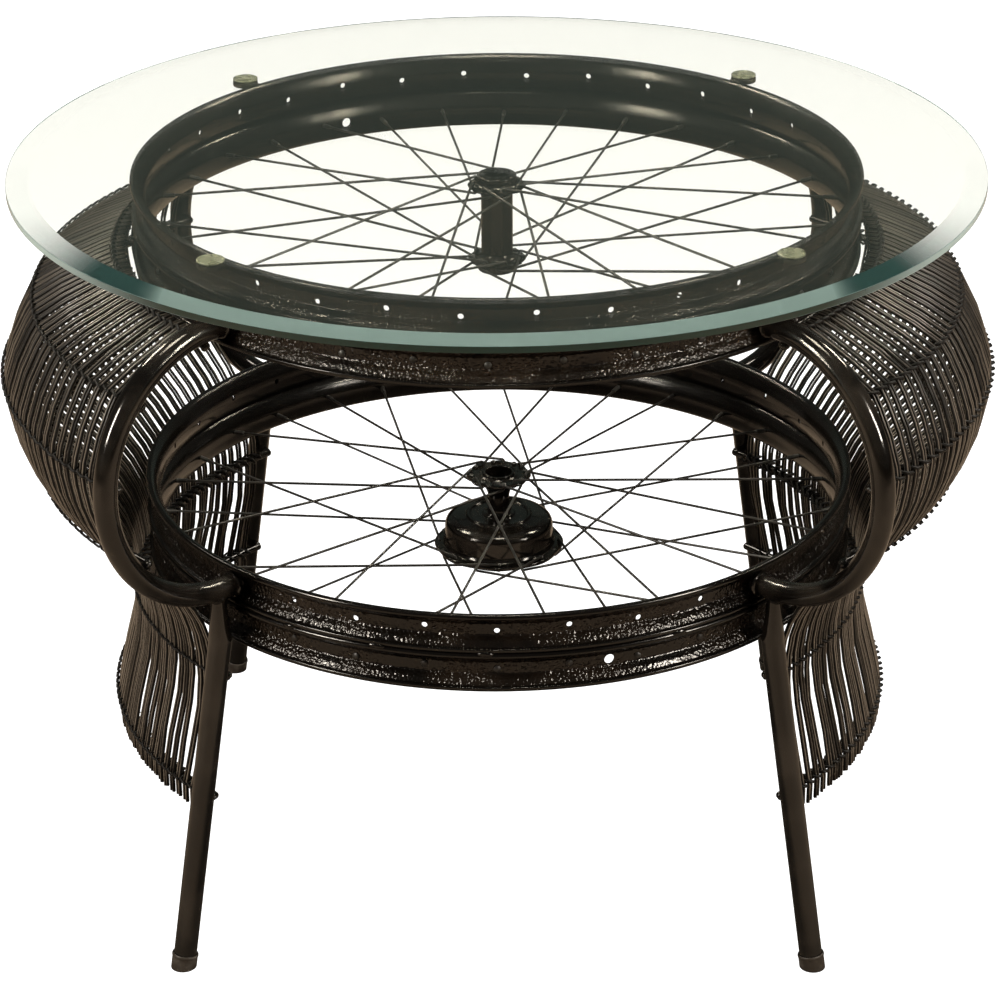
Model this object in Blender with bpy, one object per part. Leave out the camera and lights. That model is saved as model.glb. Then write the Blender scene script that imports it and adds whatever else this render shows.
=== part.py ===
"""Bicycle wheel coffee table.

Two wheels, each a bare rim stacked on a spoked rim, lie flat one above the other. Four bowed tubes
join them, four splayed legs carry them, and rattan rods lashed to round hoops close the two sides.
A loose bevelled glass top rests on four clear pads. Metres, +Z up, origin on the floor under the
wheels' axis, +X through the right side panel.
"""

import math

import bmesh
import bpy
from mathutils import Matrix, Vector

# Clearance between pieces that touch on the real table
FIT_GAP = 0.0003

# Glass top
GLASS_RADIUS = 0.400
GLASS_THICKNESS = 0.008
GLASS_EDGE_HEIGHT = 0.0053
GLASS_BEVEL_WIDTH = 0.019
GLASS_CHAMFER = 0.0006

# Clear pads and their steel seats, which stand out from the top lip
PAD_DIAMETER = 0.022
PAD_THICKNESS = 0.0020
SEAT_DIAMETER = 0.022
SEAT_THICKNESS = 0.0045
SEAT_RISE = 0.0013
PAD_ANGLES = {"front_right": -43.2, "rear_right": 46.2, "rear_left": 135.9, "front_left": -133.7}

# Wheel rims, a channel open to the outside with a lip at each edge
RIM_RADIUS = 0.3005
RIM_WIDTH = 0.0334
RIM_DEPTH = 0.0105
RIM_WELL_WIDTH = 0.012
RIM_LIP_HEIGHT = 0.0042
RIM_LIP_DEPTH = 0.0062
RIM_LIP_OVERHANG = 0.0030
RIM_SHEET = 0.0018
LOWER_WHEEL_BOTTOM = 0.2790
UPPER_WHEEL_BOTTOM = 0.5365

# Spokes and the rims' spoke holes
SPOKE_COUNT = 32
SPOKE_TWIST = 58.0
SPOKE_DIAMETER = 0.0023
SPOKE_HOLE_DIAMETER = 0.0048
SPOKE_HOLE_STAGGER = 0.0013
UPPER_LACE_PHASE = 33.0
LOWER_LACE_PHASE = 11.5
UPPER_HOLE_PHASE = 17.75
LOWER_HOLE_PHASE = 0.3

# Plain hub of the upper wheel
HUB_FLANGE_DIAMETER = 0.047
HUB_FLANGE_SPACING = 0.064
HUB_FLANGE_THICKNESS = 0.0032
HUB_BARREL_DIAMETER = 0.026
HUB_COLLAR_DIAMETER = 0.033
HUB_COLLAR_HEIGHT = 0.0075
HUB_BORE_DIAMETER = 0.020
CUP_WALL = 0.0018
CUP_DEPTH = 0.009
CUP_PROUD = 0.0015
CUP_SEAT_DIAMETER = 0.027

# Drum hub of the lower wheel
DRUM_FLANGE_DIAMETER = 0.110
DRUM_DIAMETER = 0.093
DRUM_HEIGHT = 0.0270
DRUM_WALL = 0.0030
DRUM_CORNER = 0.0060
DRUM_RING_DIAMETER = 0.054
DRUM_RING_STEP = 0.0012
FUNNEL_FLANGE_DIAMETER = 0.054
FUNNEL_DIAMETER = 0.036
FUNNEL_HEIGHT = 0.012
NECK_DIAMETER = 0.018
NECK_BORE_DIAMETER = 0.012

# Steel tube of the bows and legs
TUBE_DIAMETER = 0.019
TUBE_WALL = 0.0015
FRAME_ANGLE = 45.0
BOW_STANDOFF = 0.0065
LEG_SPLAY = 10.88
LEG_NECK_DIAMETER = 0.0120
LEG_NECK_STANDOFF = 0.0136
LEG_NECK_START = 0.0020

# Foot caps
CAP_DIAMETER = 0.0222
CAP_HEIGHT = 0.0120
CAP_FLOOR = 0.0050

# Rod hoops: angles round the bow's half circle, and drops below the lower wheel
HOOP_DIAMETER = 0.0065
HOOP_STUB = 0.0050
BOW_HOOP_ANGLES = {"shoulder": 86.0, "upper": 43.0, "belly": 4.0, "lower": -41.0}
SKIRT_HOOP_DROPS = {"waist": 0.0290, "hem": 0.1330}

# Rattan side panels
PANEL_THICKNESS = 0.0036
PANEL_SLATS = 16
PANEL_SLAT_SHARE = 0.60
PANEL_EDGE_ANGLE = 2.0
PANEL_TOP_ANGLE = 90.0
PANEL_BLEND_ANGLE = -49.0
PANEL_HEM_LENGTH = 0.0150
PANEL_BAND_WIDTH = 0.0070
PANEL_WAIST_PULL = 0.40
PANEL_HEM_PULL = 0.35

# Facets
RIM_STEPS = 40
GLASS_STEPS = 48
HUB_STEPS = 18
PAD_STEPS = 12
CAP_STEPS = 16
TUBE_SIDES = 8
BOW_STEPS = 14
HOOP_SIDES = 8
HOOP_STEPS = 10
SPOKE_SIDES = 4
HOLE_SIDES = 6
PANEL_LONG_STEP = 30.0
PANEL_BLEND_STEPS = 3
PANEL_SKIRT_STEPS = 2
SMOOTH_ANGLE = 35.0
MERGE = 1e-6

# Places that follow from the sizes above
UP = Vector((0.0, 0.0, 1.0))
FRAME_ANGLES = {"front_right": -FRAME_ANGLE, "rear_right": FRAME_ANGLE,
                "rear_left": 180.0 - FRAME_ANGLE, "front_left": FRAME_ANGLE - 180.0}
RIM_PITCH = RIM_WIDTH + FIT_GAP
LOWER_SPOKED_Z = LOWER_WHEEL_BOTTOM + RIM_WIDTH / 2
LOWER_BARE_Z = LOWER_SPOKED_Z + RIM_PITCH
UPPER_SPOKED_Z = UPPER_WHEEL_BOTTOM + RIM_WIDTH / 2
UPPER_BARE_Z = UPPER_SPOKED_Z + RIM_PITCH
SEAT_Z = UPPER_BARE_Z + RIM_WIDTH / 2 + SEAT_RISE - SEAT_THICKNESS
PAD_Z = SEAT_Z + SEAT_THICKNESS + FIT_GAP
GLASS_Z = PAD_Z + PAD_THICKNESS + FIT_GAP
RIM_WELL_RADIUS = RIM_RADIUS - RIM_DEPTH
RIM_BED_RADIUS = RIM_WELL_RADIUS - RIM_SHEET
RIM_BED_FLAT = RIM_BED_RADIUS * math.cos(math.pi / RIM_STEPS)
RIM_STEP = 360.0 / RIM_STEPS
SPOKE_PITCH = 360.0 / SPOKE_COUNT
TUBE_RADIUS = TUBE_DIAMETER / 2
HOOP_RADIUS = HOOP_DIAMETER / 2
BOW_CENTRE = Vector((RIM_RADIUS + BOW_STANDOFF, 0.0, (LOWER_BARE_Z + UPPER_SPOKED_Z) / 2))
BOW_RADIUS = (UPPER_SPOKED_Z - LOWER_BARE_Z) / 2
BOW_FLAT = BOW_RADIUS * math.cos(math.pi / 2 / BOW_STEPS)
HOOP_INSET = TUBE_RADIUS + FIT_GAP + HOOP_RADIUS
PANEL_INSET = TUBE_RADIUS - PANEL_THICKNESS / 2
PANEL_RADIUS = BOW_RADIUS - PANEL_INSET
LEG_TILT = math.radians(LEG_SPLAY)
LEG_KNEE = Vector((RIM_RADIUS + LEG_NECK_STANDOFF, 0.0, LOWER_WHEEL_BOTTOM + LEG_NECK_START))
LEG_TOP = Vector((LEG_KNEE.x, 0.0, LOWER_BARE_Z - TUBE_RADIUS - FIT_GAP))
LEG_FOOT = Vector((LEG_KNEE.x + LEG_KNEE.z * math.tan(LEG_TILT), 0.0, 0.0))
LEG_AXIS = (LEG_KNEE - LEG_FOOT).normalized()

# Finishes: colour, roughness, metallic value
FINISHES = {
    "black_enamel": ((0.012, 0.010, 0.009), 0.28, 0.0),
    "pitted_enamel": ((0.010, 0.008, 0.007), 0.35, 0.0),
    "rattan": ((0.020, 0.015, 0.011), 0.42, 0.0),
    "clear_pad": ((0.80, 0.82, 0.48), 0.15, 0.0),
    "foot_rubber": ((0.045, 0.038, 0.032), 0.55, 0.0),
    "glass": ((0.78, 0.90, 0.86), 0.02, 0.0),
}


def clear_scene():
    for item in list(bpy.data.objects):
        bpy.data.objects.remove(item, do_unlink=True)


def finish(name):
    """The Principled material of one finish, made once."""
    material = bpy.data.materials.get(name)
    if material is None:
        colour, roughness, metallic = FINISHES[name]
        material = bpy.data.materials.new(name)
        material.use_nodes = True
        shader = material.node_tree.nodes["Principled BSDF"]
        shader.inputs["Base Color"].default_value = (*colour, 1.0)
        shader.inputs["Roughness"].default_value = roughness
        shader.inputs["Metallic"].default_value = metallic
    return material


def add_piece(name, bm, material, location=(0.0, 0.0, 0.0), turn=0.0):
    """Put a finished bmesh in the scene as one named piece, turned about Z by some degrees."""
    bmesh.ops.recalc_face_normals(bm, faces=bm.faces)
    mesh = bpy.data.meshes.new(name)
    bm.to_mesh(mesh)
    bm.free()
    mesh.shade_smooth()
    mesh.set_sharp_from_angle(angle=math.radians(SMOOTH_ANGLE))
    mesh.materials.append(finish(material))
    piece = bpy.data.objects.new(name, mesh)
    piece.location = location
    piece.rotation_euler.z = math.radians(turn)
    bpy.context.collection.objects.link(piece)
    return piece


def hide_guide(piece):
    """A shape that only cuts or joins another piece."""
    piece.hide_render = True
    piece.display_type = "WIRE"


def combine(piece, guide, operation):
    hide_guide(guide)
    modifier = piece.modifiers.new(operation.title(), "BOOLEAN")
    modifier.operation = operation
    modifier.object = guide


def lathe(profile, steps, closed=True):
    """Turn (radius, height) points about Z. An open profile starts and ends on the axis."""
    bm = bmesh.new()
    points = [bm.verts.new((radius, 0.0, height)) for radius, height in profile]
    pairs = list(zip(points, points[1:]))
    if closed:
        pairs.append((points[-1], points[0]))
    edges = [bm.edges.new(pair) for pair in pairs]
    bmesh.ops.spin(bm, geom=points + edges, cent=(0, 0, 0), axis=UP, angle=math.tau, steps=steps,
                   use_merge=True)
    bmesh.ops.remove_doubles(bm, verts=bm.verts, dist=MERGE)
    return bm


def ring(bm, centre, normal, radius, sides):
    """A round section, as its vertices and edges."""
    aim = UP.rotation_difference(normal).to_matrix().to_4x4()
    verts = bmesh.ops.create_circle(bm, segments=sides, radius=radius,
                                    matrix=Matrix.Translation(centre) @ aim)["verts"]
    return verts + list({edge for vert in verts for edge in vert.link_edges})


def straight(bm, section, offset):
    """Carry a section on in a straight line, and give the section at the far end."""
    edges = [part for part in section if isinstance(part, bmesh.types.BMEdge)]
    made = bmesh.ops.extrude_edge_only(bm, edges=edges)["geom"]
    verts = [part for part in made if isinstance(part, bmesh.types.BMVert)]
    bmesh.ops.translate(bm, verts=verts, vec=offset)
    return [part for part in made if not isinstance(part, bmesh.types.BMFace)
            and (isinstance(part, bmesh.types.BMVert) or all(v in verts for v in part.verts))]


def rod_between(bm, start, end, radius, sides):
    """A solid rod from one point to another."""
    span = end - start
    aim = UP.rotation_difference(span.normalized()).to_matrix().to_4x4()
    bmesh.ops.create_cone(bm, cap_ends=True, segments=sides, radius1=radius, radius2=radius,
                          depth=span.length, matrix=Matrix.Translation((start + end) / 2) @ aim)


def polar(radius, degrees, height):
    angle = math.radians(degrees)
    return Vector((radius * math.cos(angle), radius * math.sin(angle), height))


def glass_top():
    edge = GLASS_RADIUS
    profile = [(0.0, GLASS_THICKNESS), (edge - GLASS_BEVEL_WIDTH, GLASS_THICKNESS),
               (edge, GLASS_EDGE_HEIGHT), (edge, GLASS_CHAMFER), (edge - GLASS_CHAMFER, 0.0), (0.0, 0.0)]
    add_piece("glass_top", lathe(profile, GLASS_STEPS, closed=False), "glass", (0, 0, GLASS_Z))


def disc(diameter, thickness):
    """Round blank with a small chamfer round its top."""
    radius = diameter / 2
    corner = thickness / 3
    profile = [(0.0, thickness), (radius - corner, thickness), (radius, thickness - corner),
               (radius, 0.0), (0.0, 0.0)]
    return lathe(profile, PAD_STEPS, closed=False)


def lip_radius(degrees):
    """Outer radius of a rim's faceted lip at an angle."""
    from_flat = degrees % RIM_STEP - RIM_STEP / 2
    return RIM_RADIUS * math.cos(math.pi / RIM_STEPS) / math.cos(math.radians(from_flat))


def pads():
    """Four clear pads on four steel seats, joined to the outer edge of the top lip."""
    for corner, angle in PAD_ANGLES.items():
        place = polar(lip_radius(angle) + FIT_GAP + SEAT_DIAMETER / 2, angle, 0.0)
        seat = disc(SEAT_DIAMETER, SEAT_THICKNESS)
        add_piece(f"pad_seat_{corner}", seat, "black_enamel", place + UP * SEAT_Z)
        pad = disc(PAD_DIAMETER, PAD_THICKNESS)
        add_piece(f"glass_pad_{corner}", pad, "clear_pad", place + UP * PAD_Z)


def rim_profile():
    """Section of one rim about its mid height: the channel outside, then the bed inside."""
    half = RIM_WIDTH / 2
    well = RIM_WELL_WIDTH / 2
    lip = half - RIM_LIP_HEIGHT
    channel = [(RIM_RADIUS, half), (RIM_RADIUS, lip), (RIM_RADIUS - RIM_LIP_OVERHANG, lip),
               (RIM_WELL_RADIUS, well)]
    bed = [(RIM_BED_RADIUS, well), (RIM_RADIUS - RIM_LIP_DEPTH, half)]
    upper = bed + channel
    lower = [(radius, -height) for radius, height in reversed(upper)]
    return upper + lower


def channel_radius(half_width):
    """Radius where the channel's slope is this far from mid height."""
    well = RIM_WELL_WIDTH / 2
    lip = RIM_WIDTH / 2 - RIM_LIP_HEIGHT
    share = (half_width - well) / (lip - well)
    return RIM_WELL_RADIUS + share * (RIM_RADIUS - RIM_LIP_OVERHANG - RIM_WELL_RADIUS)


def rim(name, height):
    return add_piece(name, lathe(rim_profile(), RIM_STEPS), "pitted_enamel", (0, 0, height))


def spoke_holes(name, height, phase):
    """Round holes through the well, staggered up and down."""
    bm = bmesh.new()
    for index in range(SPOKE_COUNT):
        angle = phase + index * SPOKE_PITCH
        stagger = SPOKE_HOLE_STAGGER * (1 if index % 2 else -1)
        inner = polar(RIM_BED_RADIUS - RIM_SHEET, angle, stagger)
        outer = polar(RIM_WELL_RADIUS + RIM_SHEET, angle, stagger)
        rod_between(bm, inner, outer, SPOKE_HOLE_DIAMETER / 2, HOLE_SIDES)
    return add_piece(name, bm, "pitted_enamel", (0, 0, height))


def rims():
    rim("upper_spoked_rim", UPPER_SPOKED_Z)
    rim("lower_spoked_rim", LOWER_SPOKED_Z)
    for name, height, phase in (("upper_bare_rim", UPPER_BARE_Z, UPPER_HOLE_PHASE),
                                ("lower_bare_rim", LOWER_BARE_Z, LOWER_HOLE_PHASE)):
        combine(rim(name, height), spoke_holes(f"{name}_holes", height, phase), "DIFFERENCE")


def spoke_fan(flange_radius, flange_z, rim_z, phase, lean):
    """Every second spoke of one flange, all leaning the same way round: every fourth rim hole."""
    bm = bmesh.new()
    radius = SPOKE_DIAMETER / 2
    for index in range(SPOKE_COUNT // 4):
        hole = phase + index * 4 * SPOKE_PITCH
        at_hub = hole - lean * SPOKE_TWIST
        start = polar(flange_radius + FIT_GAP + radius, at_hub, flange_z)
        end = polar(RIM_BED_FLAT - FIT_GAP - radius / 2, hole, rim_z)
        rod_between(bm, start, end, radius, SPOKE_SIDES)
    return bm


def spoke_set(name, flange_diameter, flange_z, rim_z, phase, first_lean):
    """The spokes of one flange. They touch where they cross, so the set is one woven piece."""
    fans = [spoke_fan(flange_diameter / 2, flange_z, rim_z, start, lean)
            for start, lean in ((phase, first_lean), (phase + 2 * SPOKE_PITCH, -first_lean))]
    woven = add_piece(name, fans[0], "black_enamel")
    crossing = add_piece(f"{name}_crossing", fans[1], "black_enamel")
    combine(woven, crossing, "UNION")


def hub_half():
    """Upper half of the plain hub's outside and bore, from its collar down to mid barrel."""
    flange = HUB_FLANGE_SPACING / 2
    half = HUB_FLANGE_THICKNESS / 2
    collar = flange + half + HUB_COLLAR_HEIGHT
    outside = [(HUB_COLLAR_DIAMETER / 2, collar), (HUB_COLLAR_DIAMETER / 2, flange + half),
               (HUB_FLANGE_DIAMETER / 2, flange + half), (HUB_FLANGE_DIAMETER / 2, flange - half),
               (HUB_BARREL_DIAMETER / 2, flange - half)]
    bore = [(HUB_BORE_DIAMETER / 2, collar - CUP_DEPTH), (CUP_SEAT_DIAMETER / 2, collar - CUP_DEPTH),
            (CUP_SEAT_DIAMETER / 2, collar)]
    return bore + outside


def upper_hub():
    half = hub_half()
    profile = half + [(radius, -height) for radius, height in reversed(half)]
    add_piece("upper_hub_shell", lathe(profile, HUB_STEPS), "black_enamel", (0, 0, UPPER_SPOKED_Z))
    mouth = HUB_FLANGE_SPACING / 2 + HUB_FLANGE_THICKNESS / 2 + HUB_COLLAR_HEIGHT
    for name, side in (("upper_hub_cup_top", 1), ("upper_hub_cup_bottom", -1)):
        place = (0, 0, UPPER_SPOKED_Z + side * mouth)
        add_piece(name, bearing_cup(side), "black_enamel", place)


def bearing_cup(side):
    """Pressed ring in the mouth of a hub, standing a little proud of it."""
    outer = CUP_SEAT_DIAMETER / 2 - FIT_GAP
    inner = outer - CUP_WALL
    low = side * (FIT_GAP - CUP_DEPTH)
    high = side * CUP_PROUD
    return lathe([(inner, low), (inner, high), (outer, high), (outer, low)], HUB_STEPS)


def lower_hub():
    """Drum hub: funnel flange above, thin neck, domed drum open below on a wide flange."""
    flange = HUB_FLANGE_SPACING / 2
    half = HUB_FLANGE_THICKNESS / 2
    top = flange + half
    base = -flange - half
    drum = DRUM_DIAMETER / 2
    drum_top = -flange + half + DRUM_HEIGHT
    ring_radius = DRUM_RING_DIAMETER / 2
    seat_floor = top - CUP_DEPTH
    outside = [(FUNNEL_FLANGE_DIAMETER / 2, top), (FUNNEL_FLANGE_DIAMETER / 2, flange - half),
               (FUNNEL_DIAMETER / 2, flange - half), (NECK_DIAMETER / 2, flange - half - FUNNEL_HEIGHT),
               (NECK_DIAMETER / 2, drum_top), (ring_radius, drum_top),
               (ring_radius, drum_top - DRUM_RING_STEP), (drum - DRUM_CORNER, drum_top - DRUM_RING_STEP),
               (drum, drum_top - DRUM_RING_STEP - DRUM_CORNER), (drum, -flange + half),
               (DRUM_FLANGE_DIAMETER / 2, -flange + half), (DRUM_FLANGE_DIAMETER / 2, base)]
    ceiling = drum_top - DRUM_RING_STEP - DRUM_WALL
    inside = [(drum - DRUM_WALL, base), (drum - DRUM_WALL, ceiling - DRUM_CORNER),
              (drum - DRUM_WALL - DRUM_CORNER, ceiling), (NECK_BORE_DIAMETER / 2, ceiling),
              (NECK_BORE_DIAMETER / 2, seat_floor), (CUP_SEAT_DIAMETER / 2, seat_floor),
              (CUP_SEAT_DIAMETER / 2, top)]
    add_piece("lower_drum_hub", lathe(outside + inside, HUB_STEPS), "black_enamel", (0, 0, LOWER_SPOKED_Z))
    add_piece("lower_hub_cup", bearing_cup(1), "black_enamel", (0, 0, LOWER_SPOKED_Z + top))


def spokes():
    """Rim holes go to the top and the bottom flange in turn, and each flange's spokes lean in turn."""
    flange = HUB_FLANGE_SPACING / 2
    spoke_set("upper_spokes_top", HUB_FLANGE_DIAMETER, UPPER_SPOKED_Z + flange,
              UPPER_SPOKED_Z + SPOKE_HOLE_STAGGER, UPPER_LACE_PHASE, 1)
    spoke_set("upper_spokes_bottom", HUB_FLANGE_DIAMETER, UPPER_SPOKED_Z - flange,
              UPPER_SPOKED_Z - SPOKE_HOLE_STAGGER, UPPER_LACE_PHASE + SPOKE_PITCH, -1)
    spoke_set("lower_spokes_top", FUNNEL_FLANGE_DIAMETER, LOWER_SPOKED_Z + flange,
              LOWER_SPOKED_Z + SPOKE_HOLE_STAGGER, LOWER_LACE_PHASE, 1)
    spoke_set("lower_spokes_bottom", DRUM_FLANGE_DIAMETER, LOWER_SPOKED_Z - flange,
              LOWER_SPOKED_Z - SPOKE_HOLE_STAGGER, LOWER_LACE_PHASE + SPOKE_PITCH, -1)


def bow(corner, angle):
    """Half-circle tube with its two ends let into the channels of the wheels."""
    end_radius = channel_radius(TUBE_RADIUS + FIT_GAP)
    run = Vector((BOW_CENTRE.x - end_radius, 0.0, 0.0))
    bm = bmesh.new()
    section = ring(bm, Vector((end_radius, 0.0, LOWER_BARE_Z)), Vector((1, 0, 0)), TUBE_RADIUS, TUBE_SIDES)
    section = straight(bm, section, run)
    section = bmesh.ops.spin(bm, geom=section, cent=BOW_CENTRE, axis=(0, -1, 0), angle=math.pi,
                             steps=BOW_STEPS)["geom_last"]
    straight(bm, section, -run)
    bmesh.ops.remove_doubles(bm, verts=bm.verts, dist=MERGE)
    piece = add_piece(f"bow_tube_{corner}", bm, "black_enamel", turn=angle)
    wall = piece.modifiers.new("Wall", "SOLIDIFY")
    wall.thickness = TUBE_WALL
    wall.offset = -1.0


def leg(corner, angle):
    """Splayed tube, necked in upright from its knee to the bow, and cut square inside its foot cap."""
    foot = LEG_FOOT + LEG_AXIS * (CAP_FLOOR + FIT_GAP)
    knee = (LEG_KNEE - foot).length
    top = knee + LEG_TOP.z - LEG_KNEE.z
    bore = TUBE_RADIUS - TUBE_WALL
    neck = LEG_NECK_DIAMETER / 2
    bm = lathe([(bore, 0.0), (TUBE_RADIUS, 0.0), (TUBE_RADIUS, knee), (neck, top),
                (neck - TUBE_WALL, top), (bore, knee)], TUBE_SIDES)
    upright = {vert: LEG_TOP + Vector((vert.co.x, vert.co.y, 0.0)) for vert in bm.verts
               if vert.co.z > (knee + top) / 2}
    aim = UP.rotation_difference(LEG_AXIS).to_matrix().to_4x4()
    bmesh.ops.transform(bm, matrix=Matrix.Translation(foot) @ aim, verts=bm.verts)
    for vert, place in upright.items():
        vert.co = place
    add_piece(f"leg_{corner}", bm, "black_enamel", turn=angle)


def foot_cap(corner, angle):
    """Ferrule on the end of a leg, cut level where it stands on the floor."""
    bore = (TUBE_RADIUS + FIT_GAP) / math.cos(math.pi / CAP_STEPS)
    radius = CAP_DIAMETER / 2
    below = -CAP_DIAMETER
    profile = [(0.0, CAP_FLOOR), (bore, CAP_FLOOR), (bore, CAP_HEIGHT), (radius, CAP_HEIGHT),
               (radius, below), (0.0, below)]
    bm = lathe(profile, CAP_STEPS, closed=False)
    aim = UP.rotation_difference(LEG_AXIS).to_matrix().to_4x4()
    bmesh.ops.transform(bm, matrix=Matrix.Translation(LEG_FOOT) @ aim, verts=bm.verts)
    cut = bmesh.ops.bisect_plane(bm, geom=bm.verts[:] + bm.edges[:] + bm.faces[:], plane_co=(0, 0, 0),
                                 plane_no=UP, clear_inner=True)["geom_cut"]
    rim_edges = [part for part in cut if isinstance(part, bmesh.types.BMEdge)]
    bmesh.ops.edgeloop_fill(bm, edges=rim_edges)
    add_piece(f"foot_cap_{corner}", bm, "foot_rubber", turn=angle)


def leg_radius(height):
    """Distance of a leg's axis from the wheels' axis at some height."""
    return LEG_FOOT.x - height * math.tan(LEG_TILT)


def bow_point(radius, degrees):
    """Point on a circle about the bow's centre, as (radius, height)."""
    angle = math.radians(degrees)
    return (BOW_CENTRE.x + radius * math.cos(angle), BOW_CENTRE.z + radius * math.sin(angle))


def skirt_point(drop, inward):
    """Point some way inside a leg's axis, at a drop below the lower wheel."""
    height = LOWER_WHEEL_BOTTOM - drop
    return (leg_radius(height) - inward / math.cos(LEG_TILT), height)


def bow_reach(degrees):
    """Radius of the bow's faceted centre line at an angle round its half circle."""
    step = 180.0 / BOW_STEPS
    from_flat = (degrees + 90.0) % step - step / 2
    return BOW_FLAT / math.cos(math.radians(from_flat))


def hoop_places():
    """Every hoop's (radius, height), on the inner side of the bows and of the legs."""
    places = {name: bow_point(bow_reach(angle) - HOOP_INSET, angle)
              for name, angle in BOW_HOOP_ANGLES.items()}
    places.update({name: skirt_point(drop, HOOP_INSET) for name, drop in SKIRT_HOOP_DROPS.items()})
    return places


def hoop(name, radius, height, side, turn):
    """Quarter-circle rod between a front and a rear tube, with a straight stub past each axis."""
    bm = bmesh.new()
    half = math.radians(FRAME_ANGLE)
    first = ring(bm, Vector((radius, 0.0, height)), Vector((0, 1, 0)), HOOP_RADIUS, HOOP_SIDES)
    bmesh.ops.rotate(bm, verts=bm.verts, cent=(0, 0, 0), matrix=Matrix.Rotation(-half, 3, "Z"))
    last = bmesh.ops.spin(bm, geom=first, cent=(0, 0, 0), axis=UP, angle=2 * half,
                          steps=HOOP_STEPS)["geom_last"]
    straight(bm, first, Vector((-math.sin(half), -math.cos(half), 0.0)) * HOOP_STUB)
    straight(bm, last, Vector((-math.sin(half), math.cos(half), 0.0)) * HOOP_STUB)
    bmesh.ops.holes_fill(bm, edges=bm.edges, sides=HOOP_SIDES)
    add_piece(f"{name}_hoop_{side}", bm, "black_enamel", turn=turn)


def bezier(start, start_pull, end_pull, end, count):
    """Points along a cubic curve, without its first point."""
    points = []
    for index in range(1, count + 1):
        t = index / count
        weights = ((1 - t) ** 3, 3 * t * (1 - t) ** 2, 3 * t * t * (1 - t), t ** 3)
        points.append(tuple(sum(w * p[axis] for w, p in zip(weights, (start, start_pull, end_pull, end)))
                            for axis in (0, 1)))
    return points


def panel_profile():
    """Mid line of the rods from the upper wheel to the hem, and which of its steps carry a lashing."""
    half_band = math.degrees(PANEL_BAND_WIDTH / 2 / PANEL_RADIUS)
    angles = [(PANEL_TOP_ANGLE, False)]
    for angle in BOW_HOOP_ANGLES.values():
        middle = (angles[-1][0] + angle) / 2
        if angles[-1][0] - angle > PANEL_LONG_STEP:
            angles.append((middle, False))
        angles += [(angle + half_band, True), (angle - half_band, False)]
    angles.append((PANEL_BLEND_ANGLE, False))
    points = [bow_point(PANEL_RADIUS, angle) for angle, _ in angles]
    bands = [band for _, band in angles]
    waist, hem = (skirt_point(drop, PANEL_INSET) for drop in SKIRT_HOOP_DROPS.values())
    half_width = PANEL_BAND_WIDTH / 2
    slope = math.tan(LEG_TILT)
    waist_top = (waist[0], waist[1] + half_width)
    waist_end = (waist[0], waist[1] - half_width)
    hem_top = (hem[0] - half_width * slope, hem[1] + half_width)
    hem_end = (hem[0] + half_width * slope, hem[1] - half_width)
    blend = math.radians(PANEL_BLEND_ANGLE)
    pull = PANEL_WAIST_PULL * math.dist(points[-1], waist_top)
    leave = (points[-1][0] + pull * math.sin(blend), points[-1][1] - pull * math.cos(blend))
    points += bezier(points[-1], leave, (waist[0], waist_top[1] + pull), waist_top, PANEL_BLEND_STEPS)
    bands += [False] * (PANEL_BLEND_STEPS - 1) + [True]
    points.append(waist_end)
    bands.append(False)
    pull = PANEL_HEM_PULL * math.dist(waist_end, hem_top)
    points += bezier(waist_end, (waist[0], waist_end[1] - pull),
                     (hem_top[0] - pull * slope, hem_top[1] + pull), hem_top, PANEL_SKIRT_STEPS)
    bands += [False] * (PANEL_SKIRT_STEPS - 1) + [True]
    points += [hem_end, (hem_end[0], hem_end[1] - PANEL_HEM_LENGTH)]
    bands += [False, False]
    return points, bands


def panel(side, turn):
    """Upright rods as slats, joined along the hoops by the lashings."""
    points, bands = panel_profile()
    span = 2 * (FRAME_ANGLE - PANEL_EDGE_ANGLE)
    pitch = span / (PANEL_SLATS - 1 + PANEL_SLAT_SHARE)
    slat = math.radians(pitch * PANEL_SLAT_SHARE)
    gap = math.radians(pitch) - slat
    bm = bmesh.new()
    start = math.radians(-span / 2)
    verts = [bm.verts.new((r * math.cos(start), r * math.sin(start), z)) for r, z in points]
    line = verts + [bm.edges.new(pair) for pair in zip(verts, verts[1:])]
    for index in range(2 * PANEL_SLATS - 1):
        is_gap = index % 2 == 1
        known = set(bm.faces)
        line = bmesh.ops.spin(bm, geom=line, cent=(0, 0, 0), axis=UP, angle=gap if is_gap else slat,
                              steps=1)["geom_last"]
        if is_gap:
            strip = [face for face in bm.faces if face not in known]
            open_cells = [face for face, band in zip(order_along(strip, points), bands) if not band]
            bmesh.ops.delete(bm, geom=open_cells, context="FACES_ONLY")
    loose = [edge for edge in bm.edges if not edge.link_faces]
    bmesh.ops.delete(bm, geom=loose, context="EDGES")
    piece = add_piece(f"woven_panel_{side}", bm, "rattan", turn=turn)
    rods = piece.modifiers.new("Rods", "SOLIDIFY")
    rods.thickness = PANEL_THICKNESS
    rods.offset = 0.0


def order_along(faces, points):
    """Faces of one strip in the order of the profile's steps."""
    middles = [((r0 + r1) / 2, (z0 + z1) / 2) for (r0, z0), (r1, z1) in zip(points, points[1:])]

    def step_of(face):
        centre = face.calc_center_median()
        place = (math.hypot(centre.x, centre.y), centre.z)
        return min(range(len(middles)), key=lambda index: math.dist(middles[index], place))

    return sorted(faces, key=step_of)


def build():
    clear_scene()
    glass_top()
    pads()
    rims()
    upper_hub()
    lower_hub()
    spokes()
    for corner, angle in FRAME_ANGLES.items():
        bow(corner, angle)
        leg(corner, angle)
        foot_cap(corner, angle)
    for side, turn in (("right", 0.0), ("left", 180.0)):
        for name, (radius, height) in hoop_places().items():
            hoop(name, radius, height, side, turn)
        panel(side, turn)


build()
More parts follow.
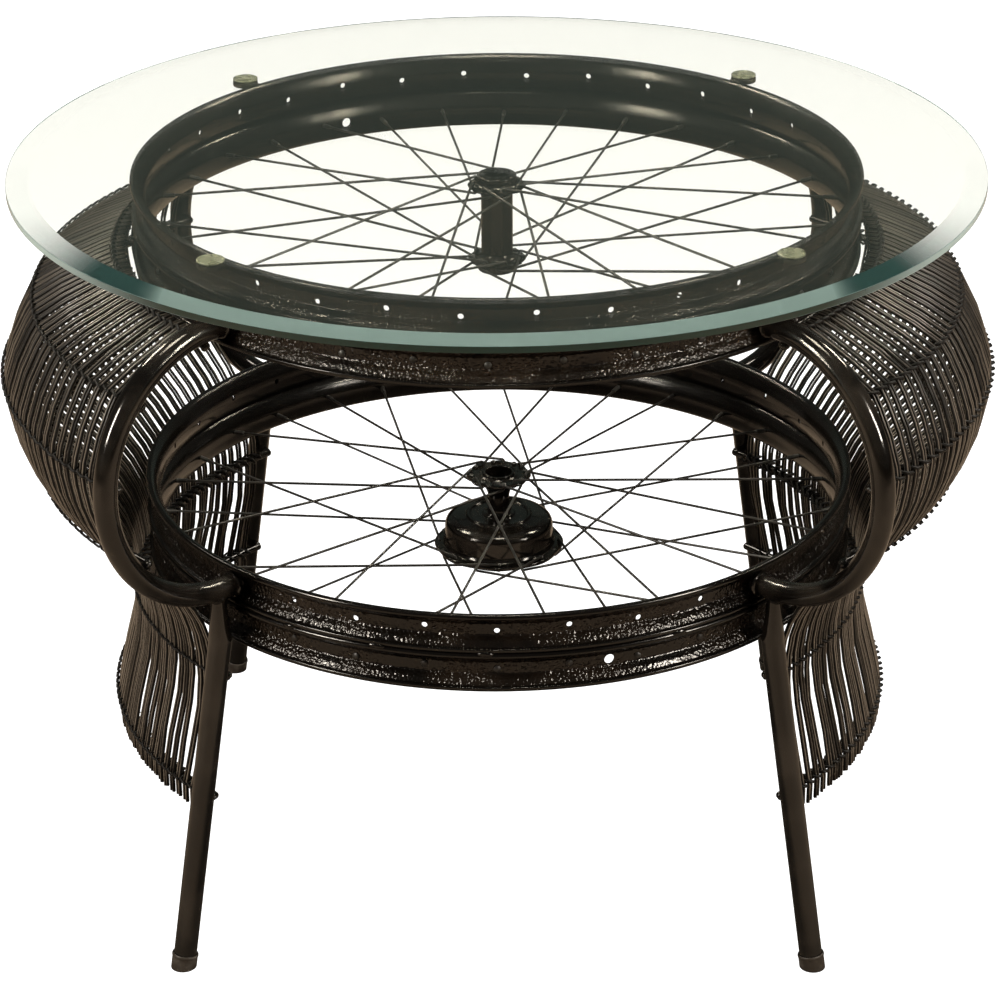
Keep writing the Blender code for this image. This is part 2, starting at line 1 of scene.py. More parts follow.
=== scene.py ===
# %% [markdown]
# # A coffee table made from bicycle wheels
# Four old wheel rims, stacked in two pairs, are the shelves of this table. Four bowed tubes hold the
# pairs apart, four splayed legs carry them, rattan rods close the two sides, and a loose pane of
# bevelled glass lies on top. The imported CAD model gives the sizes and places. This lesson gives
# every solid its finished shape and surface, and each new piece rides on the CAD body it belongs to.

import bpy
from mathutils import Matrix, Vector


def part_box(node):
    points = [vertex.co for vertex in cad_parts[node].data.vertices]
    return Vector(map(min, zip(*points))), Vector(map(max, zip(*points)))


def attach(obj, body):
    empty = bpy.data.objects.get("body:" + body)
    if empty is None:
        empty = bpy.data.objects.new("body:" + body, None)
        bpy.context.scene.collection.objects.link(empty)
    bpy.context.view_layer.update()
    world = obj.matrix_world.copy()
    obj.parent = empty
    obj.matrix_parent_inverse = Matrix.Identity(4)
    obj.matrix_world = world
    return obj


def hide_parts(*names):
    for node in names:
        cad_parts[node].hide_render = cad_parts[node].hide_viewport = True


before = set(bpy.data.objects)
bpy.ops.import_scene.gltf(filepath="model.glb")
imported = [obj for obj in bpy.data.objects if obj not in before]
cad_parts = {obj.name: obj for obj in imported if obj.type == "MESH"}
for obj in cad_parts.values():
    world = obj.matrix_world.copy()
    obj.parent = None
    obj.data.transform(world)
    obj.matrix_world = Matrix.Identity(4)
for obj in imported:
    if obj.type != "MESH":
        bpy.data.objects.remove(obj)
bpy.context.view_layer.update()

# %% Modules and small helpers
import bisect
import math
import random

import bmesh
import bpy
from bmesh.types import BMEdge, BMVert
from mathutils import Matrix, Vector, noise

UP = Vector((0.0, 0.0, 1.0))
ALONG_X = Vector((1.0, 0.0, 0.0))
ORIGIN = Vector((0.0, 0.0, 0.0))
MM = 0.001
MERGE = 1e-6
# Without a seed, noise_vector would give every run other welds and spokes
NOISE_SEED = 41
noise.seed_set(NOISE_SEED)


def clamp(value, low=0.0, high=1.0):
    return min(high, max(low, value))


def new_mesh(name, bm):
    mesh = bpy.data.meshes.new(name)
    bm.to_mesh(mesh)
    bm.free()
    return mesh


def new_object(name, data):
    made = bpy.data.objects.new(name, data)
    bpy.context.scene.collection.objects.link(made)
    return made


# %% [markdown]
# ## The camera
# The photograph looks down on the table from the front with a long lens. The ellipses of the glass
# and of the rims give its height and tilt, so the camera is placed by those numbers and not by a
# Track To constraint. A square frame on a 36 mm sensor then shows what the photograph shows.

# %% Camera
CAMERA_PLACE = Vector((0.0315, -2.5550, 1.5098))
CAMERA_YAW = 0.0119
CAMERA_TILT = 0.4410
CAMERA_ROLL = -0.0061
CAMERA_LENS = 118.15
CAMERA_SENSOR = 36.0


def add_camera():
    camera = new_object("photo_camera", bpy.data.cameras.new("photo_camera"))
    camera.data.lens = CAMERA_LENS
    camera.data.sensor_width = CAMERA_SENSOR
    turn = (Matrix.Rotation(CAMERA_YAW, 4, "Z") @ Matrix.Rotation(math.pi / 2 - CAMERA_TILT, 4, "X")
            @ Matrix.Rotation(CAMERA_ROLL, 4, "Z"))
    camera.matrix_world = Matrix.Translation(CAMERA_PLACE) @ turn
    bpy.context.scene.camera = camera
    return camera


print("camera at", tuple(round(value, 3) for value in add_camera().location))

# %% [markdown]
# ## Writing shaders as sums
# A node tree could be wired by hand, node by node. Here a `Wire` stands for one output socket, and
# `1 - mask * 0.3` adds the Math nodes by itself. Every other node comes from `Finish.node`, which
# sets the node's own settings first and then its sockets.

# %% Wires and finishes


class Wire:
    """One output socket. Arithmetic on it adds Math nodes to its finish."""

    def __init__(self, finish, socket):
        self.finish = finish
        self.socket = socket

    def math(self, operation, *terms):
        return self.finish.node("ShaderNodeMath", {"operation": operation}, dict(enumerate(terms)))

    def __add__(self, other):
        return self.math("ADD", self, other)

    def __sub__(self, other):
        return self.math("SUBTRACT", self, other)

    def __rsub__(self, other):
        return self.math("SUBTRACT", other, self)

    def __mul__(self, other):
        return self.math("MULTIPLY", self, other)

    __radd__ = __add__
    __rmul__ = __mul__


class Finish:
    """The node tree of one material, or of the room."""

    def __init__(self, owner):
        owner.use_nodes = True
        self.owner = owner
        self.tree = owner.node_tree

    def feed(self, socket, value):
        if isinstance(value, Wire):
            self.tree.links.new(value.socket, socket)
        else:
            socket.default_value = value

    def node(self, kind, settings=(), sockets=(), output=0):
        made = self.tree.nodes.new(kind)
        for name, value in dict(settings).items():
            setattr(made, name, value)
        for name, value in dict(sockets).items():
            self.feed(made.inputs[name], value)
        return Wire(self, made.outputs[output])

    def surface(self, sockets):
        shader = self.tree.nodes["Principled BSDF"]
        for name, value in sockets.items():
            self.feed(shader.inputs[name], value)
        return Wire(self, shader.outputs[0])

    def show(self, shader):
        self.feed(self.tree.nodes["Material Output"].inputs["Surface"], shader)


def new_finish(name):
    return Finish(bpy.data.materials.new(name))


# %% [markdown]
# ## Patterns that the finishes share
# Noise and Voronoi textures read Object coordinates, which are metres here. A scale of 400 therefore
# makes spots about 2.5 mm across, whatever the size of the piece. Map Range cuts a soft pattern to a
# mask from 0 to 1, and a colour is mixed by such a mask.

# %% Shared patterns


def rgb(red, green, blue):
    return (red, green, blue, 1.0)


def object_place(finish):
    return finish.node("ShaderNodeTexCoord", output="Object")


def cloud(place, scale, detail=2.0):
    return place.finish.node("ShaderNodeTexNoise", {},
                             {"Vector": place, "Scale": scale, "Detail": detail})


def cells(place, scale):
    return place.finish.node("ShaderNodeTexVoronoi", {"feature": "SMOOTH_F1"},
                             {"Vector": place, "Scale": scale, "Smoothness": 0.6})


def between(value, low, high):
    return value.finish.node("ShaderNodeMapRange", {"interpolation_type": "SMOOTHSTEP"},
                             {"Value": value, "From Min": low, "From Max": high})


def blend_colour(mask, first, second):
    return mask.finish.node("ShaderNodeMix", {"data_type": "RGBA"},
                            {0: mask, 6: first, 7: second}, output=2)


def blend_shader(mask, first, second):
    return mask.finish.node("ShaderNodeMixShader", {}, {0: mask, 1: first, 2: second})


def relief(height, depth, strength=1.0):
    return height.finish.node("ShaderNodeBump", {},
                              {"Strength": strength, "Distance": depth, "Height": height})


def attribute(finish, name):
    """A number that the mesh holds at each vertex."""
    return finish.node("ShaderNodeAttribute", {"attribute_name": name}, output="Fac")


def ray_kind(finish, kind):
    """1 for rays of this kind, and 0 for all others."""
    return finish.node("ShaderNodeLightPath", output=kind)


# %% [markdown]
# ## Floor and light
# The table was photographed on plain white, but its black paint shows that the room round it was
# dim and its floor warm: gloss paint is a mirror of its surroundings. So floor and room are white
# where the camera sees them, the floor also through the glass, and dim for every other ray, most of
# all under the table. The glass mirrors the wall behind the table as a faint cool haze. Area lamps are
# the softboxes, a little warm, and they stand clear of that place.

# %% Floor and room
FLOOR_SIZE = 60.0
WHITE = rgb(1.0, 1.0, 1.0)
FLOOR_WARM = rgb(0.30, 0.237, 0.180)
FLOOR_SHADED = rgb(0.045, 0.035, 0.027)
FLOOR_ROUGHNESS = 0.9
FLOOR_GLOW = 1.45
# Distances from the table's axis: all shade inside the first, none past the second
SHADE_LIMITS = (0.30, 0.58)
ROOM_GREY = rgb(0.078, 0.072, 0.060)
BACK_WALL = rgb(0.086, 0.104, 0.088)
WALL_LIMITS = (0.70, 0.90)


def floor_paint():
    finish = new_finish("white_floor")
    place = object_place(finish)
    from_axis = finish.node("ShaderNodeVectorMath", {"operation": "LENGTH"}, {0: place}, output="Value")
    unshaded = between(from_axis, *SHADE_LIMITS)
    warm = finish.surface({"Base Color": blend_colour(unshaded, FLOOR_SHADED, FLOOR_WARM),
                           "Roughness": FLOOR_ROUGHNESS})
    white = finish.node("ShaderNodeEmission", {}, {"Color": WHITE, "Strength": FLOOR_GLOW})
    direct = ray_kind(finish, "Is Camera Ray")
    seen = direct.math("MAXIMUM", direct, ray_kind(finish, "Is Transmission Ray"))
    finish.show(blend_shader(seen, warm, white))
    return finish.owner


def add_floor():
    bm = bmesh.new()
    bmesh.ops.create_grid(bm, x_segments=1, y_segments=1, size=FLOOR_SIZE / 2)
    mesh = new_mesh("floor", bm)
    mesh.materials.append(floor_paint())
    floor = new_object("floor", mesh)


def add_room():
    room = Finish(bpy.data.worlds.new("studio_room"))
    direction = room.node("ShaderNodeTexCoord", output="Generated")
    behind = between(room.node("ShaderNodeSeparateXYZ", {}, {0: direction}, output="Y"), *WALL_LIMITS)
    dim = blend_colour(behind, ROOM_GREY, BACK_WALL)
    colour = blend_colour(ray_kind(room, "Is Camera Ray"), dim, WHITE)
    room.feed(room.tree.nodes["Background"].inputs["Color"], colour)
    bpy.context.scene.world = room.owner
    bpy.context.scene.view_settings.view_transform = "Standard"


add_floor()
add_room()
print("floor:", FLOOR_SIZE, "m wide")

# %% Softboxes
# Place and size in metres, and power in watts
SOFTBOXES = {
    "overhead": ((0.0, -0.3, 2.9), (0.65, 0.65), 28.0),
    "front_left": ((-2.2, -1.5, 1.7), (0.45, 1.0), 88.0),
    "front_right": ((2.3, -1.4, 1.7), (0.45, 1.0), 88.0),
    "rear_left": ((-1.7, 1.3, 2.6), (0.45, 0.9), 45.0),
    "rear_right": ((1.7, 1.3, 2.6), (0.45, 0.9), 45.0),
}
LIGHT_AIM = Vector((0.0, 0.0, 0.40))
LAMP_WARM = (1.0, 0.91, 0.79)


def add_softbox(name, place, size, watts):
    lamp = bpy.data.lights.new(name, "AREA")
    lamp.shape = "RECTANGLE"
    lamp.size, lamp.size_y = size
    lamp.energy = watts
    lamp.color = LAMP_WARM
    box = new_object(name, lamp)
    box.location = place
    box.rotation_euler = (LIGHT_AIM - Vector(place)).to_track_quat("-Z", "Y").to_euler()


for box_name, (box_place, box_size, box_watts) in SOFTBOXES.items():
    add_softbox(box_name, box_place, box_size, box_watts)
print("softboxes:", ", ".join(SOFTBOXES))

# %% [markdown]
# ## Black enamel
# The whole frame was brushed with one gloss black paint. Thin paint lets a little brown primer show,
# and thick paint dries smoother. One noise is the thick and thin of the brush, and a finer one is
# the orange peel that breaks up the reflections. The spokes were rusty and took the paint badly, so
# theirs is the same coat, only duller.

# %% Black enamel
ENAMEL_THIN = rgb(0.0110, 0.0090, 0.0072)
ENAMEL_THICK = rgb(0.0016, 0.0013, 0.0011)
COAT_GRAIN, PEEL_GRAIN, SAG_GRAIN = 24.0, 330.0, 55.0
COAT_LIMITS = (0.40, 0.72)
ENAMEL_RELIEF = 0.4 * MM
GLOSSY, DULL = 0.08, 0.42


def black_enamel(name, dullness):
    finish = new_finish(name)
    place = object_place(finish)
    coats = between(cloud(place, COAT_GRAIN, 4.0), *COAT_LIMITS)
    peel = cloud(place, PEEL_GRAIN)
    sags = cloud(place, SAG_GRAIN, 1.0)
    finish.surface({
        "Base Color": blend_colour(coats, ENAMEL_THICK, ENAMEL_THIN),
        "Roughness": dullness + 0.08 * coats + 0.04 * peel,
        "Normal": relief(peel * 0.10 + sags, ENAMEL_RELIEF, 0.5),
    })
    return finish.owner


ENAMEL = black_enamel("black_enamel", GLOSSY)
DULL_ENAMEL = black_enamel("dull_enamel", DULL)
print("finishes:", ENAMEL.name, DULL_ENAMEL.name)

# %% [markdown]
# ## Enamel over rust pits
# The rims were rusty before they were painted. On the slopes of their channels the gloss lies over a
# crust of blisters that sparkles, and on their lips it is smooth. Each rim carries a number in its
# mesh, `pits`, that says where the crust is. Smooth Voronoi cells are the blisters: one minus the
# squared distance makes a dome, and every dome mirrors a lamp as one bright dot. They are too small
# and too many to model, so they are relief.

# %% Pitted enamel
RUST_TINGE = rgb(0.0075, 0.0048, 0.0030)
RUST_GRAIN, BLISTER_GRAIN, CRUMB_GRAIN, DRIP_GRAIN = 16.0, 430.0, 900.0, 60.0
RUST_LIMITS = (0.36, 0.58)
CRUST_RELIEF = 0.65 * MM
CRUST_SHINE = 0.36


def pitted_enamel():
    finish = new_finish("pitted_enamel")
    place = object_place(finish)
    pits = attribute(finish, "pits")
    rust = between(cloud(place, RUST_GRAIN, 3.0), *RUST_LIMITS)
    distance = cells(place, BLISTER_GRAIN)
    domes = 1.0 - distance * distance * 2.0
    crumbs = cloud(place, CRUMB_GRAIN)
    crust = (domes + crumbs * 0.25) * pits * (rust * 0.75 + 0.25)
    drips = cloud(place, DRIP_GRAIN, 1.0)
    finish.surface({
        "Base Color": blend_colour(rust * pits, ENAMEL_THICK, RUST_TINGE),
        "Roughness": 0.10 + 0.06 * rust + 0.06 * crumbs,
        "Specular IOR Level": CRUST_SHINE,
        "Normal": relief(crust + drips * 0.35, CRUST_RELIEF),
    })
    return finish.owner


PITTED = pitted_enamel()
print("finish:", PITTED.name)

# %% [markdown]
# ## Stained rattan
# The rods were stained almost black. Along each rod's crest the colour is brown and the coat glossy,
# partly from wear and partly as a painted highlight, while the flanks beside it are near black,
# painted shade for the crevices between the rods. Every rod carries three numbers in its mesh: how
# far along the rod a point is, how close to the crest, and a tone of its own. The streaks are noise
# stretched along the rod, and the tone makes neighbouring rods differ. Towards the top, under the
# glass, the crest is less glossy and darker, which is painted shade.

# %% Stained rattan
ROD_NUMBERS = ("along", "crest", "tone")
# Painted shade: the colour of the rods' flanks, in the crevices between them
CANE_CREVICE_SHADE = rgb(0.0012, 0.0009, 0.0007)
CANE_DARK = rgb(0.008, 0.0064, 0.0051)
# On the crest: brown that is partly wear and partly a painted highlight
CANE_BROWN = rgb(0.170, 0.142, 0.115)
STREAKS_ALONG = 9.0
FIBRE_GRAIN = 520.0
CREST_LIMITS = (0.55, 1.0)
WEAR_LIMITS = (0.34, 0.74)
# Shares of a rod's length between which it comes out from under the glass; above them the crest is darker,
# as painted shade
UNDER_GLASS_SHADE_LIMITS = (0.10, 0.32)
CANE_SHINE = 0.22
RUBBED_ROUGHNESS = 0.16
CANE_RELIEF = 0.25 * MM


def stained_rattan():
    finish = new_finish("stained_rattan")
    along, crest, tone = (attribute(finish, name) for name in ROD_NUMBERS)
    track = finish.node("ShaderNodeCombineXYZ", {},
                        {"X": tone * 40.0, "Y": along * STREAKS_ALONG, "Z": tone * 17.0})
    streak = cloud(track, 1.0, 3.0)
    fibre = cloud(object_place(finish), FIBRE_GRAIN)
    # 1 on the crest (partly wear, partly painted highlight), 0 on the flanks (painted shade), and weaker
    # towards the top as painted shade
    wear_and_painted_highlight = between(crest, *CREST_LIMITS) * (0.35 + 0.65 * between(along, *UNDER_GLASS_SHADE_LIMITS))
    worn = between(streak * 0.55 + tone * 0.30 + fibre * 0.25, *WEAR_LIMITS)
    finish.surface({
        "Base Color": blend_colour(wear_and_painted_highlight, CANE_CREVICE_SHADE, blend_colour(worn, CANE_DARK, CANE_BROWN)),
        "Roughness": 0.46 - 0.24 * wear_and_painted_highlight + 0.10 * fibre,
        "Specular IOR Level": CANE_SHINE,
        "Coat Weight": wear_and_painted_highlight * 0.9,
        "Coat Roughness": RUBBED_ROUGHNESS,
        "Normal": relief(fibre, CANE_RELIEF, 0.5),
    })
    return finish.owner


RATTAN = stained_rattan()
print("finish:", RATTAN.name)

# %% [markdown]
# ## Glass, clear pads and foot caps
# Glass could be faked with a low Alpha, but then the bevel would not bend the view behind it. Full
# transmission with an IOR of 1.5 does that. Lamps would not shine through such a surface, so rays to
# the lamps meet a Transparent shader in its place. Where the bevel faces the eye, light cannot leave
# by the underside: it runs to and fro inside the pane for a metre and comes out green. That many
# bounces cannot be traced. A Fresnel node is 1 for just those rays, so under the bevel it mixes the
# green in, and a dark teal beside it, where the underside mirrors much but not all. The upright edge
# is dark green where it faces the eye and pale where it is seen along; that pale is painted light,
# for the bright floor that shows through the edge there.

# %% Glass
GLASS_IOR = 1.5
GLASS_CLEAR = rgb(0.985, 0.980, 0.900)
GLASS_GREEN = rgb(0.080, 0.116, 0.122)
GLASS_TEAL = rgb(0.007, 0.020, 0.021)
# Shares of the light that the underside mirrors, between which each colour comes in
TEAL_LIMITS, GREEN_LIMITS = (0.22, 0.46), (0.60, 1.00)
EDGE_GREEN = rgb(0.0016, 0.0112, 0.0078)
# Painted light: the edge's colour where it is seen along, for the bright floor showing through it
EDGE_PAINTED_LIGHT = rgb(0.42, 0.54, 0.56)
EDGE_TURN_LIMITS = (0.30, 0.75)
EDGE_CLEARNESS, EDGE_ROUGHNESS = 0.3, 0.08
LAMP_TINT = rgb(0.95, 0.98, 0.96)


def clear_glass(name, colour, clearness=1.0, roughness=0.0, trapped=(), painted_light_seen_along=None):
    finish = new_finish(name)
    if painted_light_seen_along:
        # Seen along, the edge takes a painted light colour, for the bright floor showing through it
        turned = finish.node("ShaderNodeLayerWeight", {}, {"Blend": 0.5}, output="Facing")
        colour = blend_colour(between(turned, *EDGE_TURN_LIMITS), colour, painted_light_seen_along)
    body = finish.surface({"Base Color": colour, "Roughness": roughness, "IOR": GLASS_IOR,
                           "Transmission Weight": clearness})
    for tint, limits in trapped:
        glow = finish.node("ShaderNodeBsdfDiffuse", {}, {"Color": tint})
        held = between(finish.node("ShaderNodeFresnel", {}, {"IOR": GLASS_IOR}), *limits)
        body = blend_shader(held, body, glow)
    see_through = finish.node("ShaderNodeBsdfTransparent", {}, {"Color": LAMP_TINT})
    finish.show(blend_shader(ray_kind(finish, "Is Shadow Ray"), body, see_through))
    return finish.owner


# The flat, the upright edge and the underside below the bevel, in that order
GLASS = [clear_glass("pane_flat", GLASS_CLEAR),
         clear_glass("pane_edge", EDGE_GREEN, EDGE_CLEARNESS, EDGE_ROUGHNESS, painted_light_seen_along=EDGE_PAINTED_LIGHT),
         clear_glass("pane_under_bevel", GLASS_CLEAR,
                     trapped=((GLASS_TEAL, TEAL_LIMITS), (GLASS_GREEN, GREEN_LIMITS)))]
print("finishes:", ", ".join(finish.name for finish in GLASS))

# %% Clear pads and foot caps
PAD_YELLOW = rgb(0.115, 0.122, 0.082)
PAD_PALE = rgb(0.155, 0.165, 0.120)
PAD_IOR = 1.46
PAD_CLEARNESS = 0.40
HAZE_GRAIN = 90.0
HAZE_LIMITS = (0.30, 0.75)
CAP_BROWN = rgb(0.022, 0.017, 0.013)
CAP_GREY = rgb(0.060, 0.052, 0.044)
SCUFF_GRAIN, GRIT_GRAIN = 75.0, 700.0
SCUFF_LIMITS = (0.46, 0.74)
CAP_RELIEF = 0.3 * MM


def clear_pad():
    finish = new_finish("clear_pad")
    haze = between(cloud(object_place(finish), HAZE_GRAIN, 1.0), *HAZE_LIMITS)
    finish.surface({
        "Base Color": blend_colour(haze, PAD_YELLOW, PAD_PALE),
        "Roughness": 0.18 + 0.22 * haze,
        "Transmission Weight": PAD_CLEARNESS,
        "IOR": PAD_IOR,
    })
    return finish.owner


def foot_rubber():
    finish = new_finish("foot_rubber")
    place = object_place(finish)
    scuff = between(cloud(place, SCUFF_GRAIN, 4.0), *SCUFF_LIMITS)
    finish.surface({
        "Base Color": blend_colour(scuff, CAP_BROWN, CAP_GREY),
        "Roughness": 0.42 + 0.25 * scuff,
        "Normal": relief(cloud(place, GRIT_GRAIN), CAP_RELIEF, 0.5),
    })
    return finish.owner


PAD = clear_pad()
CAP = foot_rubber()
print("finishes:", PAD.name, CAP.name)

# %% [markdown]
# ## From a bmesh to a piece
# A finished bmesh becomes an object at the origin with its place in its mesh. `add_piece` smooths
# its faces but keeps hard edges, rides it on a body, gives it its material, and hides the CAD
# solids that it stands for.

# %% Pieces
SHARP_ANGLE = 38.0


def smooth(mesh, sharp):
    mesh.shade_smooth()
    mesh.set_sharp_from_angle(angle=math.radians(sharp))


def add_piece(name, bm, finishes, stands_for=(), body="stand", sharp=SHARP_ANGLE):
    mesh = new_mesh(name, bm)
    smooth(mesh, sharp)
    for finish in finishes if isinstance(finishes, list) else [finishes]:
        mesh.materials.append(finish)
    piece = new_object(name, mesh)
    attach(piece, body)
    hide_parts(*stands_for)
    return piece


def add_into(bm, other):
    """Move all of another bmesh into this one."""
    mesh = new_mesh("hand_over", other)
    bm.from_mesh(mesh)
    bpy.data.meshes.remove(mesh)


def polar(radius, degrees, height=0.0):
    angle = math.radians(degrees)
    return Vector((radius * math.cos(angle), radius * math.sin(angle), height))


def turn_to(bm, degrees):
    turn = Matrix.Rotation(math.radians(degrees), 3, "Z")
    bmesh.ops.rotate(bm, verts=bm.verts, cent=ORIGIN, matrix=turn)


def lift(bm, height):
    bmesh.ops.translate(bm, verts=bm.verts, vec=UP * height)


def aimed(place, direction):
    """A matrix that takes the origin to a place and Z to a direction."""
    return Matrix.Translation(place) @ UP.rotation_difference(direction).to_matrix().to_4x4()


def node_middle(node):
    low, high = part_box(node)
    return (low + high) / 2


# %% [markdown]
# ## Turned shapes
# Rims, hubs, pads and the pane are all round, so each is a section spun once about Z. The section is
# drawn with sharp corners, each with the radius it should have, and a vertex bevel rounds them
# before the spin. `use_merge` joins the last step of a full spin to the first.

# %% Lathe
ROUND_STEPS = 3


def in_metres(section):
    return [(radius * MM, height * MM, rounding * MM) for radius, height, rounding in section]


def mirrored(upper):
    return upper + [(radius, -height, rounding) for radius, height, rounding in reversed(upper)]


def lathe(section, steps):
    """Spin (radius, height, rounding) corners about Z into one closed shell."""
    bm = bmesh.new()
    corners = [bm.verts.new((radius, 0.0, height)) for radius, height, _ in section]
    bm.faces.new(corners)
    for corner, (_, _, rounding) in zip(corners, section):
        if rounding:
            bmesh.ops.bevel(bm, geom=[corner], affect="VERTICES", offset=rounding, offset_type="OFFSET",
                            segments=ROUND_STEPS, profile=0.5, material=-1)
    bmesh.ops.delete(bm, geom=bm.faces[:], context="FACES_ONLY")
    on_axis = [edge for edge in bm.edges if all(vert.co.x < MERGE for vert in edge.verts)]
    bmesh.ops.delete(bm, geom=on_axis, context="EDGES_FACES")
    bmesh.ops.spin(bm, geom=bm.verts[:] + bm.edges[:], cent=ORIGIN, axis=UP, angle=math.tau, steps=steps,
                   use_merge=True)
    bmesh.ops.remove_doubles(bm, verts=bm.verts, dist=MERGE)
    bmesh.ops.recalc_face_normals(bm, faces=bm.faces)
    return bm


# %% [markdown]
# ## The pane
# A round of 8 mm plate glass, ground to a wide shallow bevel on top and a narrow upright edge. It
# is not fixed: it lies on its pads and lifts straight off, so it is the one piece on the body
# `glass`.

# %% Glass pane
GLASS_RADIUS = 0.400
GLASS_THICKNESS = 8.0 * MM
GLASS_EDGE = 5.55 * MM
GLASS_BEVEL = 19.0 * MM
GLASS_ARRIS = 0.6 * MM
BEVEL_ARRIS = 0.3 * MM
GLASS_UNDER = 9.0 * MM
GLASS_STEPS = 192
GLASS_SHARP = 4.0
FLAT_FACE, EDGE_FACE, UNDER_FACE = range(len(GLASS))
# A face counts as level if the upright part of its normal is more than this
LEVEL = 0.5


def glass_pane():
    flat = GLASS_RADIUS - GLASS_BEVEL
    section = [(0.0, 0.0, 0.0), (flat - GLASS_UNDER, 0.0, 0.0), (GLASS_RADIUS, 0.0, GLASS_ARRIS),
               (GLASS_RADIUS, GLASS_EDGE, BEVEL_ARRIS), (flat, GLASS_THICKNESS, 0.0),
               (0.0, GLASS_THICKNESS, 0.0)]
    bm = lathe(section, GLASS_STEPS)
    for face in bm.faces:
        if abs(face.normal.z) <= LEVEL:
            face.material_index = EDGE_FACE
        elif face.normal.z < 0.0 and face.calc_center_median().xy.length > flat - GLASS_UNDER:
            face.material_index = UNDER_FACE
        else:
            face.material_index = FLAT_FACE
    lift(bm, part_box("glass_top")[0].z)
    return add_piece("bevelled_pane", bm, GLASS, ["glass_top"], body="glass", sharp=GLASS_SHARP)


print("pane faces:", len(glass_pane().data.polygons))

# %% [markdown]
# ## Pads and seats
# Four clear bumpers keep the glass off the steel. Each lies on a thick painted disc that is welded
# to the outside of the rim's top lip. Pad and seat are turned like the pane, and the pad has a raised
# ring round its top.

# %% Pads
CORNERS = ("front_left", "front_right", "rear_left", "rear_right")
PAD_STEPS = 40
# Radius, height and rounding of each corner, in millimetres
PAD_SECTION = [(0.0, 0.0, 0.0), (10.2, 0.0, 0.4), (11.0, 0.9, 0.5), (10.7, 2.0, 0.4), (9.0, 2.0, 0.3),
               (8.3, 1.6, 0.3), (4.6, 1.6, 0.2), (4.2, 1.8, 0.1), (0.0, 1.8, 0.0)]
SEAT_SECTION = [(0.0, 0.0, 0.0), (10.5, 0.0, 0.4), (11.0, 0.7, 0.3), (11.0, 3.8, 0.4), (10.3, 4.5, 0.3),
                (0.0, 4.5, 0.0)]


def pad_and_seat(corner):
    for name, node, section, finish, slot in (
            ("clear_bumper", "glass_pad", PAD_SECTION, PAD, "clear_pad"),
            ("bumper_seat", "pad_seat", SEAT_SECTION, ENAMEL, "black_enamel")):
        node = f"{node}_{corner}"
        middle = node_middle(node)
        bm = lathe(in_metres(section), PAD_STEPS)
        bmesh.ops.translate(bm, verts=bm.verts, vec=(middle.x, middle.y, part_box(node)[0].z))
        add_piece(f"{name}_{corner}", bm, finish, [node])


for pad_corner in CORNERS:
    pad_and_seat(pad_corner)
print("pads and seats:", 2 * len(CORNERS))

# %% [markdown]
# ## Rims
# A roadster rim is one strip of steel rolled into a channel: a rounded lip at each edge, a sloping
# bead seat, and a well in the middle where the spoke holes are. Inside, the rolled edges show as two
# soft ridges with the bed between them. The section is drawn once, for the upper half, and mirrored.

# %% Rim section
RIM_RADIUS = 0.3005
RIM_STEPS = 160
RIM_WELL_DEPTH = 10.5 * MM
RIM_BED_DEPTH = 12.3 * MM
# Depth inside the rim's edge, height over its middle, and rounding, in millimetres
RIM_UPPER_HALF = [
    (12.3, 3.0, 1.6), (10.3, 9.6, 3.0), (7.4, 14.6, 2.4), (4.6, 16.7, 1.6), (0.6, 16.7, 1.6),
    (0.0, 12.9, 1.0), (3.4, 12.2, 0.7), (6.0, 8.3, 1.0), (10.5, 5.2, 1.2),
]
RIM_SECTION = mirrored([(RIM_RADIUS - depth, height, rounding)
                        for depth, height, rounding in in_metres(RIM_UPPER_HALF)])
print("rim section corners:", len(RIM_SECTION))

# %% [markdown]
# ## Holes in the rims
# The two bare rims show all their spoke holes, and each spoked rim has one larger hole for the
# valve. The holes could be modelled face by face, but a Boolean with a bunch of short rods is
# quicker and leaves clean round edges. Its result is kept as the mesh and the rods are deleted.

# %% Rims with holes
SPOKE_COUNT = 32
HOLE_RADIUS = 2.4 * MM
HOLE_STAGGER = 1.3 * MM
HOLE_SIDES = 14
HOLE_MARGIN = 3 * MM
VALVE_RADIUS = 4.2 * MM
VALVE_ANGLES = {"upper_spoked_rim": 118.5, "lower_spoked_rim": -72.0}
HOLE_PHASES = {"upper_bare_rim": 17.75, "lower_bare_rim": 0.3}
HOLE_PITCH = 360.0 / SPOKE_COUNT
SMOOTH_LIP = 2.4 * MM
CRUST_START = 4.2 * MM


def rod_between(bm, start, end, radius, sides):
    span = end - start
    bmesh.ops.create_cone(bm, cap_ends=True, segments=sides, radius1=radius, radius2=radius,
                          depth=span.length, matrix=aimed((start + end) / 2, span.normalized()))


def holes_of(node):
    """Angle, height and radius of each hole in a rim."""
    height = node_middle(node).z
    if node in VALVE_ANGLES:
        return [(VALVE_ANGLES[node], height, VALVE_RADIUS)]
    return [(HOLE_PHASES[node] + index * HOLE_PITCH, height + HOLE_STAGGER * (1 if index % 2 else -1),
             HOLE_RADIUS) for index in range(SPOKE_COUNT)]


